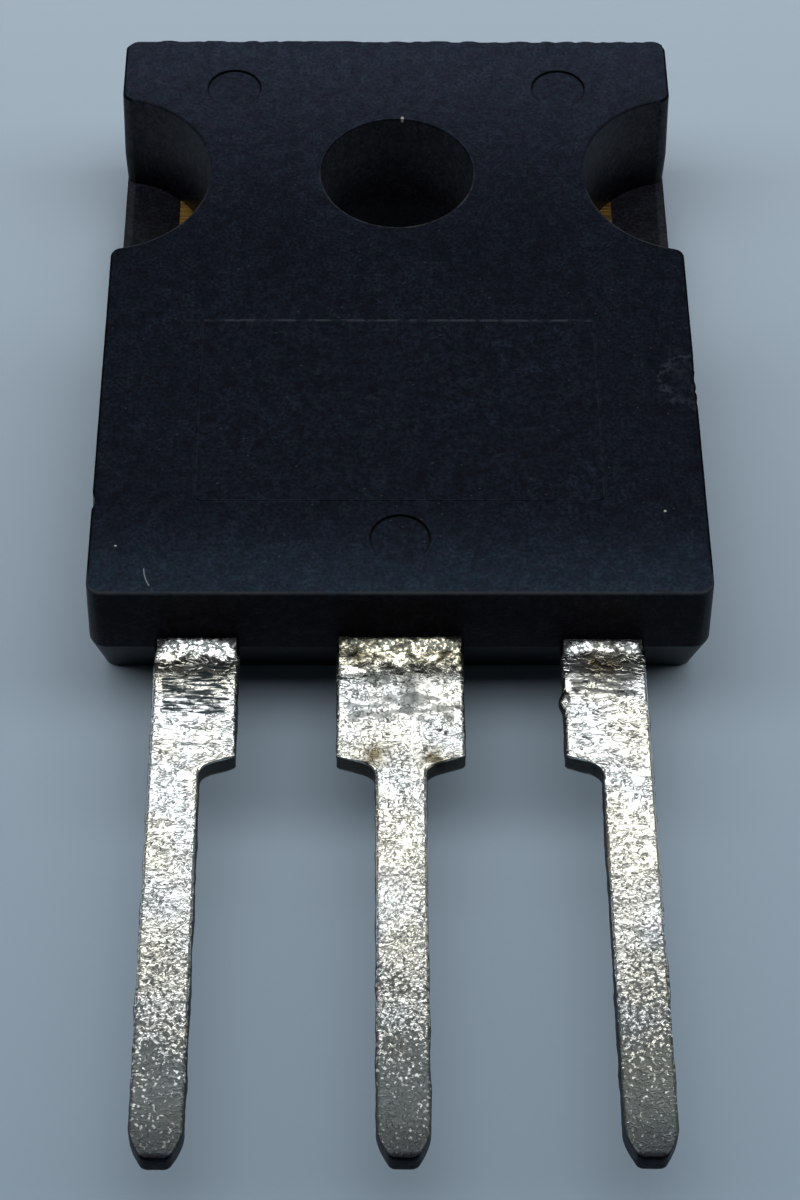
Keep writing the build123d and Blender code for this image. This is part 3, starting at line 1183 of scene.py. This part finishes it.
class Surface:
    """Points and faces gathered ring by ring, in millimetres."""

    def __init__(self):
        self.points = []
        self.faces = []

    def ring(self, points):
        """Adds a closed ring of points and returns their numbers."""
        first = len(self.points)
        self.points.extend(points)
        return list(range(first, len(self.points)))

    def bridge(self, lower, upper):
        """Joins two rings of the same count with quads."""
        count = len(lower)
        for k in range(count):
            after = (k + 1) % count
            self.faces.append((lower[k], lower[after], upper[after], upper[k]))

    def stack(self, rings):
        """Joins rings one above the other, and returns them as point numbers."""
        numbered = [self.ring(points) for points in rings]
        for lower, upper in zip(numbered, numbered[1:]):
            self.bridge(lower, upper)
        return numbered

    def fill(self, rings, inner, height, keep, facing_up=True):
        """Fills the plan between rings with triangles through the inner points."""
        numbers = [k for ring in rings for k in ring]
        plan = [Vector(self.points[k][:2]) for k in numbers]
        edges, start = [], 0
        for ring in rings:
            count = len(ring)
            edges += [(start + k, start + (k + 1) % count) for k in range(count)]
            start += count
        plan += [Vector(p) for p in inner]
        numbers += self.ring([(*p, height(*p)) for p in inner])
        cut = delaunay_2d_cdt(plan, edges, [], INSIDE_ONLY, 1e-7)
        corners_at, faces, origins = cut[0], cut[2], cut[3]
        for face in faces:
            middle = sum((corners_at[k] for k in face), Vector((0, 0))) / 3
            if keep(*middle):
                corners = [numbers[origins[k][0]] for k in face]
                self.faces.append(corners if facing_up else corners[::-1])

    def piece(self, name):
        """The gathered mesh as an object in metres."""
        mesh = bpy.data.meshes.new(name)
        mesh.from_pydata([Vector(p) * MM for p in self.points], [], self.faces)
        merge_points(mesh, MERGE)
        return add_object(name, mesh)


def along_line(start, end, count):
    """Points from start towards end, without the end."""
    a, b = Vector(start), Vector(end)
    return [tuple(a.lerp(b, k / count)) for k in range(count)]


def on_circle(centre, radius, angle):
    """The point of a circle at an angle."""
    return centre[0] + radius * math.cos(angle), centre[1] + radius * math.sin(angle)


def along_arc(centre, radius, first, last, count):
    """Points on an arc from angle first towards last, without the last."""
    angles = [first + (last - first) * k / count for k in range(count)]
    return [on_circle(centre, radius, angle) for angle in angles]


def circle(centre, radius, count):
    """A closed circle of points, anticlockwise."""
    return along_arc(centre, radius, 0.0, 2 * math.pi, count)


def lifted(plan, height):
    """Plan points at one height."""
    return [(x, y, height) for x, y in plan]


QUARTER = math.pi / 2

# How many points the moulding's outline has on each of its stretches
EDGE_POINTS, CORNER_POINTS, SIDE_POINTS, TAB_SIDE_POINTS = 64, 8, 96, 22
NOTCH_POINTS, ROUND_POINTS = 54, 7


def body_plan(height, inset=0.0, notched=True):
    """The moulding's outline at a height, anticlockwise from its lead end's middle."""
    lean = abs(height - PARTING) * DRAFT
    half = HALF_WIDTH - lean - inset
    tab = TAB_END - lean - inset
    below = max(PARTING - height, 0.0)
    heel = below * HEEL_SETBACK / PARTING if below else lean
    lead = LEAD_END + heel + inset
    corner = CORNER_RADIUS - lean - inset
    radius = NOTCH_RADIUS - (FRONT - max(height, LEDGE)) * NOTCH_DRAFT + inset
    # The notch meets the side in a small round, and its centre is the same at any inset
    rounding = NOTCH_ROUND - inset
    beyond = NOTCH_CENTRE - half + rounding
    reach = math.sqrt((radius + rounding) ** 2 - beyond**2)
    turn = math.atan2(reach, beyond)
    round_x = half - corner
    lead_corner, tab_corner = (round_x, lead + corner), (round_x, tab - corner)
    right = along_line((0, lead), (round_x, lead), EDGE_POINTS)
    right += along_arc(lead_corner, corner, -QUARTER, 0.0, CORNER_POINTS)
    right += along_line((half, lead + corner), (half, -reach), SIDE_POINTS)
    if notched:
        start = turn - math.pi
        end = -2 * math.pi - start
        right += along_arc((half - rounding, -reach), rounding, 0.0, turn, ROUND_POINTS)
        right += along_arc((NOTCH_CENTRE, 0), radius, start, end, NOTCH_POINTS)
        right += along_arc((half - rounding, reach), rounding, -turn, 0.0, ROUND_POINTS)
    else:
        count = NOTCH_POINTS + 2 * ROUND_POINTS
        right += along_line((half, -reach), (half, reach), count)
    right += along_line((half, reach), (half, tab - corner), TAB_SIDE_POINTS)
    right += along_arc(tab_corner, corner, 0.0, QUARTER, CORNER_POINTS)
    right += along_line((round_x, tab), (0, tab), EDGE_POINTS) + [(0, tab)]
    left = [(-x, y) for x, y in reversed(right[1:-1])]
    return right + left


def steps(first, last, count):
    """Evenly spaced values after first, up to and with last."""
    return [first + (last - first) * (k + 1) / count for k in range(count)]


# How many rings each band of the wall has, from the back up
BACK_RINGS, LEDGE_RINGS, LOWER_RINGS = 12, 8, 6
UPPER_RINGS, CHIP_RINGS, ROUND_RINGS = 10, 8, 5
# The rings are closer above this height, where the front edge is chipped
CHIPS_FROM = 4.4


def wall_rings():
    """Rings of the moulding's outer wall from the back to the front face."""
    heights = [0.0] + steps(0.0, LEDGE, BACK_RINGS)
    rings = [lifted(body_plan(height, notched=False), height) for height in heights]
    closed, opened = body_plan(LEDGE, notched=False), body_plan(LEDGE)
    for share in steps(0.0, 1.0, LEDGE_RINGS):
        plan = [tuple(Vector(a).lerp(Vector(b), share)) for a, b in zip(closed, opened)]
        rings.append(lifted(plan, LEDGE))
    edge_low = FRONT - FRONT_EDGE_RADIUS
    heights = steps(LEDGE, PARTING, LOWER_RINGS)
    heights += steps(PARTING, CHIPS_FROM, UPPER_RINGS)
    heights += steps(CHIPS_FROM, edge_low, CHIP_RINGS)
    rings += [lifted(body_plan(height), height) for height in heights]
    for turn in steps(0.0, QUARTER, ROUND_RINGS):
        inset = FRONT_EDGE_RADIUS * (1 - math.cos(turn))
        height = FRONT - FRONT_EDGE_RADIUS * (1 - math.sin(turn))
        rings.append(lifted(body_plan(edge_low, inset), height))
    return rings


# Points on the hole, the ejector marks and the marking field's corners and sides
HOLE_POINTS = 96
HOLE_LAND_RINGS, HOLE_FLARE_RINGS = 8, 14
MARK_POINTS = 40
FIELD_CORNER_POINTS = 5
FIELD_SIDE_POINTS = (46, 76, 46, 76)
# How far the marks' small walls lean
MARK_SLOPE = 0.015
# Spacing of the front face's points, and the gap they keep from its edges and marks
GRID = 0.16
GRID_GAP = 0.09


def field_plan(inset):
    """Rounded outline of the raised marking field."""
    corner = FIELD_CORNER - inset
    half = FIELD_HALF_WIDTH - inset - corner
    low, high = FIELD_LOW + inset + corner, FIELD_HIGH - inset - corner
    centres = ((half, low), (half, high), (-half, high), (-half, low))
    points = []
    for k, centre in enumerate(centres):
        start, end = (k - 1) * QUARTER, k * QUARTER
        points += along_arc(centre, corner, start, end, FIELD_CORNER_POINTS)
        after = on_circle(centres[(k + 1) % 4], corner, end)
        here = on_circle(centre, corner, end)
        points += along_line(here, after, FIELD_SIDE_POINTS[k])
    return points


def front_height(x, y):
    """Height of the front face with its sunk ejector marks and raised field."""
    slope = MARK_SLOPE / 2
    for centre_x, centre_y in EJECTOR_PLACES:
        if math.hypot(x - centre_x, y - centre_y) < EJECTOR_RADIUS - slope:
            return FRONT - EJECTOR_DEPTH
    in_length = FIELD_LOW + slope < y < FIELD_HIGH - slope
    if in_length and abs(x) < FIELD_HALF_WIDTH - slope:
        return FRONT + FIELD_HEIGHT
    return FRONT


def on_front(x, y):
    """Whether a plan point is clear of the mounting hole and the clip notches."""
    notch_edge = NOTCH_RADIUS + FRONT_EDGE_RADIUS
    in_notch = math.hypot(abs(x) - NOTCH_CENTRE, y) < notch_edge
    return math.hypot(x, y) > HOLE_RADIUS + HOLE_FLARE and not in_notch


def search_tree(places):
    """A tree that finds the nearest of some places."""
    tree = kdtree.KDTree(len(places))
    for k, place in enumerate(places):
        tree.insert(place, k)
    tree.balance()
    return tree


def grid_points(clear_of, gap):
    """A staggered grid over the front face that keeps a gap from given plan points."""
    tree = search_tree(lifted(clear_of, 0))
    edge = DRAFT * (FRONT - PARTING)
    half = HALF_WIDTH - edge - FRONT_EDGE_RADIUS - gap
    low = LEAD_END + edge + FRONT_EDGE_RADIUS + gap
    high = TAB_END - edge - FRONT_EDGE_RADIUS - gap
    rows = int((high - low) / (GRID * math.sqrt(0.75)))
    columns = int(2 * half / GRID)
    points = []
    for row in range(rows):
        y = low + (high - low) * row / (rows - 1)
        for column in range(columns):
            x = -half + (column + 0.5 * (row % 2)) * GRID
            if abs(x) > half or not on_front(x, y):
                continue
            if tree.find((x, y, 0))[2] > gap:
                points.append((x, y))
    return points


def bore_rings():
    """Rings of the mounting hole's wall from the back to its flared front."""
    heights = [0.0] + steps(0.0, HOLE_LAND, HOLE_LAND_RINGS)
    heights += steps(HOLE_LAND, FRONT, HOLE_FLARE_RINGS)
    rings = []
    for height in heights:
        flare = max(height - HOLE_LAND, 0.0) * HOLE_FLARE / (FRONT - HOLE_LAND)
        rings.append(lifted(circle((0, 0), HOLE_RADIUS + flare, HOLE_POINTS), height))
    return rings


def mark_rings():
    """The outer and inner rims of the ejector marks and of the raised field."""
    rings = []
    for centre in EJECTOR_PLACES:
        inner = circle(centre, EJECTOR_RADIUS - MARK_SLOPE, MARK_POINTS)
        rings.append(lifted(circle(centre, EJECTOR_RADIUS, MARK_POINTS), FRONT))
        rings.append(lifted(inner, FRONT - EJECTOR_DEPTH))
    rings.append(lifted(field_plan(0.0), FRONT))
    rings.append(lifted(field_plan(MARK_SLOPE), FRONT + FIELD_HEIGHT))
    return rings


def moulding():
    """The moulding's shell: wall, mounting hole, back and front face with its marks."""
    shell = Surface()
    wall = shell.stack(wall_rings())
    bore = shell.stack(bore_rings()[::-1])
    rims = [wall[-1], bore[0]] + [shell.ring(ring) for ring in mark_rings()]
    taken = [shell.points[k][:2] for ring in rims for k in ring]
    shell.fill(rims, grid_points(taken, GRID_GAP), front_height, on_front)
    shell.fill(
        [wall[0], bore[-1]],
        [],
        lambda x, y: 0.0,
        lambda x, y: math.hypot(x, y) > HOLE_RADIUS,
        facing_up=False,
    )
    piece = shell.piece("moulding")
    measure_edge(piece)
    return piece


def measure_edge(piece):
    """Stores how far each point is from the front edge, in millimetres."""
    tree = search_tree(lifted(body_plan(FRONT), FRONT))
    distances = [tree.find(v.co / MM)[2] for v in piece.data.vertices]
    layer = piece.data.attributes.new("edge_distance", "FLOAT", "POINT")
    layer.data.foreach_set("value", distances)


# -------------------- leads

# The blade starts inside the moulding, and overlaps the lead's inner end there
LEAD_ROOT = LEAD_END + 0.35
LEAD_OVERLAP = 0.1
# Spacing of the blade's sections, and how far short of the tip's end it stops
LEAD_STEP = 0.045
EVEN_UNTIL = 0.08
# The last sections: how far short of the end each is, and how much it is thinned
TIP_SECTIONS = ((0.04, 0.02), (0.015, 0.05), (0.0, 0.11))
# How the slope after the shoulder and the taper of the tip bend
SHOULDER_BEND = 1.8
TIP_BEND = 1.6
# Half the stretch over which an edge's corners are rounded, and its samples
ROUNDING = 0.08
ROUNDING_SAMPLES = 4
# Points on a cross-section's top, underside, sides and rounded corners
TOP_POINTS, UNDER_POINTS, FLANK_POINTS, ARC_POINTS = 64, 32, 8, 3


def edge_place(y, outer, step, side):
    """X of one edge of a lead at y: shoulder, hollow slope, blade and tapered tip."""
    share = min(max((y - SHOULDER_END) / SHOULDER_SLOPE, 0.0), 1.0)
    hollow = 1 - (1 - share**SHOULDER_BEND) ** (1 / SHOULDER_BEND)
    into_tip = max(TIP_END + TIP_LENGTH - y, 0.0) / TIP_LENGTH
    return outer + side * (step * hollow - TIP_TAPER * into_tip**TIP_BEND)


def rounded_edge(y, outer, step, side):
    """The same edge with its corners rounded, by averaging it over a short stretch."""
    count = ROUNDING_SAMPLES
    offsets = [ROUNDING * k / count for k in range(-count, count + 1)]
    places = [edge_place(y + offset, outer, step, side) for offset in offsets]
    return sum(places) / len(places)


def lead_ring(y, left, right, ease):
    """A rounded cross-section of a lead; ease thins it at the very tip."""
    radius = LEAD_EDGE_RADIUS
    top, low = LEAD_TOP - ease, LEAD_UNDERSIDE + ease
    west, east = left + radius, right - radius
    ceiling, ground = top - radius, low + radius
    ring = [(x, top) for x, _ in along_line((west, 0), (east, 0), TOP_POINTS)]
    ring += along_arc((east, ceiling), radius, QUARTER, 0.0, ARC_POINTS)
    ring += along_line((right, ceiling), (right, ground), FLANK_POINTS)
    ring += along_arc((east, ground), radius, 0.0, -QUARTER, ARC_POINTS)
    ring += along_line((east, low), (west, low), UNDER_POINTS)
    ring += along_arc((west, ground), radius, -QUARTER, -2 * QUARTER, ARC_POINTS)
    ring += along_line((left, ground), (left, ceiling), FLANK_POINTS)
    ring += along_arc((west, ceiling), radius, 2 * QUARTER, QUARTER, ARC_POINTS)
    return [(x, y, z) for x, z in ring]


def close_end(surface, ring, turned):
    """Closes one end of a blade with a fan of triangles."""
    middle = sum((Vector(surface.points[k]) for k in ring), Vector()) / len(ring)
    hub = surface.ring([tuple(middle)])[0]
    for k, here in enumerate(ring):
        after = ring[(k + 1) % len(ring)]
        surface.faces.append((here, hub, after) if turned else (here, after, hub))


def lead_blade(coat):
    """The outer length of a lead as a closed, dense mesh."""
    count = int((LEAD_ROOT - TIP_END) / LEAD_STEP)
    places = [LEAD_ROOT] + steps(LEAD_ROOT, TIP_END + EVEN_UNTIL, count)
    sections = [(y, 0.0) for y in places]
    sections += [(TIP_END + short, ease) for short, ease in TIP_SECTIONS]
    half = LEAD_WIDTH / 2
    left_step, right_step = coat.steps
    surface, rings = Surface(), []
    for y, ease in sections:
        left = rounded_edge(y, coat.centre - half, left_step, -1) + ease
        right = rounded_edge(y, coat.centre + half, right_step, 1) - ease
        rings.append(lead_ring(y, left, right, ease)[::-1])
    numbered = surface.stack(rings)
    close_end(surface, numbered[0], turned=True)
    close_end(surface, numbered[-1], turned=False)
    return surface.piece(f"soldered_{coat.name}")


# Edges sharper than these stay sharp, in degrees
BODY_CREASE, LEAD_CREASE = 25, 35
# Faces this close to the blade's root count as inside the moulding
HAIRBREADTH = 0.02


def merged_copy(node, name):
    """A copy of a CAD node's mesh with its loose triangles joined."""
    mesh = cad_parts[node].data.copy()
    mesh.materials.clear()
    merge_points(mesh, CAD_MERGE)
    return add_object(name, mesh)


def cut_off(piece, y):
    """Keeps only what lies to the tab side of y, and closes the cut."""
    form = bmesh.new()
    form.from_mesh(piece.data)
    cut = bmesh.ops.bisect_plane(
        form,
        geom=form.verts[:] + form.edges[:] + form.faces[:],
        plane_co=(0, y * MM, 0),
        plane_no=(0, -1, 0),
        clear_outer=True,
    )
    rim = [e for e in cut["geom_cut"] if isinstance(e, bmesh.types.BMEdge)]
    bmesh.ops.contextual_create(form, geom=rim)
    bmesh.ops.recalc_face_normals(form, faces=form.faces)
    form.to_mesh(piece.data)
    form.free()


def combine(piece, other, operation):
    """A boolean with an exact result; the other object is removed after it."""
    modifier = piece.modifiers.new(operation.lower(), "BOOLEAN")
    modifier.operation = operation
    modifier.solver = "EXACT"
    modifier.object = other
    make_plain(piece)
    bpy.data.objects.remove(other)


def smooth(piece, angle):
    """Shades smooth except across edges sharper than the angle, in degrees."""
    mesh = piece.data
    for layer in ("custom_normal", "sharp_edge"):
        if layer in mesh.attributes:
            mesh.attributes.remove(mesh.attributes[layer])
    mesh.shade_smooth()
    mesh.set_sharp_from_angle(angle=math.radians(angle))


def dressed_lead(coat, inner_finish):
    """A soldered lead on the inner end of its CAD node, which it replaces."""
    blade = lead_blade(coat)
    sizes = dict(COATING)
    sizes["Bead Height"] = coat.bead_height
    sizes["Collar Height"], sizes["Collar Length"] = coat.collar
    sizes["Blob Height"] = coat.blob_height
    apply_rule(blade, coating_rule(coat), sizes, solder_finish(coat))
    inner = merged_copy(coat.name, "inner_end")
    cut_off(inner, LEAD_ROOT - LEAD_OVERLAP)
    combine(blade, inner, "UNION")
    blade.data.materials.append(inner_finish)
    for face in blade.data.polygons:
        if face.center.y > (LEAD_ROOT - HAIRBREADTH) * MM:
            face.material_index = 1
    smooth(blade, LEAD_CREASE)
    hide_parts(coat.name)
    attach(blade, "root")
    return blade


# -------------------- stage


# The floor's tones, which paint the light falling off towards the front, and where they
# lie, in millimetres
FLOOR_FALLOFF_TONES = rgb(0.248, 0.325, 0.398), rgb(0.428, 0.518, 0.605)
FLOOR_NEAR, FLOOR_FAR = -34.0, 16.0
# How far the floor reaches, and how low it lies, in metres
FLOOR_REACH, FLOOR_LEVEL = 0.6, -0.00001


def floor_finish():
    """Plain pale blue-grey sheet, painted paler towards the back as painted light
    falloff.
    """
    finish, tree, shader, place = new_finish(
        "pale_floor", Roughness=0.9, Specular_IOR_Level=0.05
    )
    # Painted light: the floor's tone grows paler towards the back
    from_near = calc(tree, "SUBTRACT", axes(tree, place)[1], FLOOR_NEAR)
    share = calc(tree, "DIVIDE", from_near, FLOOR_FAR - FLOOR_NEAR)
    dress(tree, shader, blend(tree, share, *FLOOR_FALLOFF_TONES))
    return finish


def make_floor():
    """A wide floor just under the heat-sink face."""
    mesh = bpy.data.meshes.new("floor")
    sides = ((-1, -1), (1, -1), (1, 1), (-1, 1))
    corners = [(x * FLOOR_REACH, y * FLOOR_REACH, FLOOR_LEVEL) for x, y in sides]
    mesh.from_pydata(corners, [], [(0, 1, 2, 3)])
    mesh.materials.append(floor_finish())
    floor = add_object("floor", mesh)


# The surround's tone, and its strength all round, in the band and low down
WORLD_TONE = rgb(0.94, 0.98, 1.0)
WORLD_DIM, WORLD_SHEEN, WORLD_LOW = 0.03, 0.2, 0.5
# Where the band starts and ends and the low part starts, in degrees from straight up
BAND_START, BAND_END, LOW_START = (24.0, 33.0), (50.0, 39.0), (58.0, 74.0)


def make_world():
    """Dim surround with a soft band above the tab end and a pale low band behind it."""
    world = bpy.data.worlds.new("studio")
    bpy.context.scene.world = world
    world.use_nodes = True
    tree = world.node_tree
    heading = add_node(tree, "ShaderNodeTexCoord", output=0)
    _, along, up = axes(tree, heading)
    # Degrees from straight up towards the tab end
    lean = calc(tree, "DEGREES", calc(tree, "ARCTAN2", along, up))
    band = product(tree, rise(tree, lean, *BAND_START), rise(tree, lean, *BAND_END))
    sheen = product(tree, band, WORLD_SHEEN)
    low = rise(tree, lean, *LOW_START, 0.0, WORLD_LOW)
    strength = total(tree, sheen, low, WORLD_DIM)
    background = tree.nodes["Background"]
    background.inputs["Color"].default_value = WORLD_TONE
    tree.links.new(strength, background.inputs["Strength"])


# The overhead strip's place and depth, in millimetres
STRIP_Y, STRIP_HEIGHT, STRIP_DEPTH = -52.0, 400.0, 216
# The box beyond the tab end: what it faces, how far off it stands, and how high
BOX_TARGET_Y, BOX_DISTANCE, BOX_ELEVATION = -16.0, 600.0, math.radians(54.6)


def add_lamp(name, width, length, power, place, target):
    """A rectangular soft box that faces a target; places are in millimetres."""
    data = bpy.data.lights.new(name, "AREA")
    data.shape = "RECTANGLE"
    data.size, data.size_y = width * MM, length * MM
    data.energy = power
    lamp = add_object(name, data)
    lamp.location = Vector(place) * MM
    toward = Vector(target) - Vector(place)
    lamp.rotation_euler = toward.to_track_quat("-Z", "Y").to_euler()
    lamp.visible_camera = False


def make_lamps():
    """A soft strip overhead, brighter in its middle, and a small box beyond the tab."""
    strip_place = (0.0, STRIP_Y, STRIP_HEIGHT)
    core_place = (0.0, STRIP_Y, STRIP_HEIGHT - 1)
    box_place = (
        0.0,
        BOX_TARGET_Y + BOX_DISTANCE * math.cos(BOX_ELEVATION),
        BOX_DISTANCE * math.sin(BOX_ELEVATION),
    )
    below, box_target = (0.0, STRIP_Y, 0.0), (0.0, BOX_TARGET_Y, 0.0)
    for name, width, length, power, place, target in (
        ("overhead_strip", 1920, STRIP_DEPTH, 3.3, strip_place, below),
        ("overhead_core", 320, STRIP_DEPTH, 0.24, core_place, below),
        ("back_box", 340, 86, 0.25, box_place, box_target),
    ):
        add_lamp(name, width, length, power, place, target)


# The camera's place in millimetres, and how it is turned, in degrees
CAMERA_PLACE = (-0.745, -55.31, 59.12)
CAMERA_YAW, CAMERA_PITCH, CAMERA_ROLL = 1.03, 53.09, 0.82
CAMERA_LENS, CAMERA_SENSOR = 83.73, 36.0
# The nearest and farthest that it sees, in metres
CAMERA_CLIP = 0.001, 10.0


def make_camera():
    """Looks down at the front face from beyond the leads."""
    data = bpy.data.cameras.new("camera")
    data.sensor_fit = "VERTICAL"
    data.sensor_width = data.sensor_height = CAMERA_SENSOR
    data.lens = CAMERA_LENS
    data.clip_start, data.clip_end = CAMERA_CLIP
    camera = add_object("camera", data)
    turn = (
        Matrix.Rotation(-math.radians(CAMERA_YAW), 4, "Z")
        @ Matrix.Rotation(math.pi / 2 - math.radians(CAMERA_PITCH), 4, "X")
        @ Matrix.Rotation(math.radians(CAMERA_ROLL), 4, "Z")
    )
    camera.matrix_world = Matrix.Translation(Vector(CAMERA_PLACE) * MM) @ turn
    bpy.context.scene.camera = camera


# -------------------- assembly

# What lies in the moulding, and so has room cut for it
INNER = (
    "drain_frame",
    "gate_lead",
    "source_lead",
    "die_solder",
    "mosfet_die",
    "gate_wire",
    "source_wire_1",
    "source_wire_2",
    "source_wire_3",
)
# The header's room reaches past the back, and just over the header's upper face
BELOW_BACK, OVER_HEADER = 0.2, 0.01
# The neck to the centre lead leaves the header on the lead side of this
HEADER_END = LEAD_END + 2.55
# Points this close to a face are on it
ON_FACE = 0.01


def room_for(node):
    """A solid that cuts the room for an inner piece."""
    cutter = merged_copy(node, f"room_for_{node}")
    if node == "drain_frame":
        for point in cutter.data.vertices:
            high = point.co.z > (LEDGE - ON_FACE) * MM
            if point.co.z < ON_FACE * MM:
                point.co.z -= BELOW_BACK * MM
            elif high and point.co.y > HEADER_END * MM:
                point.co.z += OVER_HEADER * MM
    return cutter


def dress_body():
    """The worn moulding with room for what it holds; it replaces the plain one."""
    body = moulding()
    apply_rule(body, wear_rule(), WEAR, epoxy_finish())
    for node in INNER:
        combine(body, room_for(node), "DIFFERENCE")
    smooth(body, BODY_CREASE)
    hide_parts("moulded_body")
    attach(body, "root")


dress_body()
copper = copper_finish()
gate_coat, drain_coat, source_coat = COATS
dressed_lead(gate_coat, copper)
dressed_lead(source_coat, copper)
dressed_lead(drain_coat, copper)

aluminium = aluminium_finish()
hidden = {
    "mosfet_die": silicon_finish(),
    "die_solder": soft_solder_finish(),
    "gate_wire": aluminium,
    "source_wire_1": aluminium,
    "source_wire_2": aluminium,
    "source_wire_3": aluminium,
}
for node, finish in hidden.items():
    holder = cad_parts[node]
    holder.data.materials.clear()
    holder.data.materials.append(finish)

make_floor()
make_world()
make_lamps()
make_camera()
bpy.context.scene.view_settings.view_transform = "Standard"
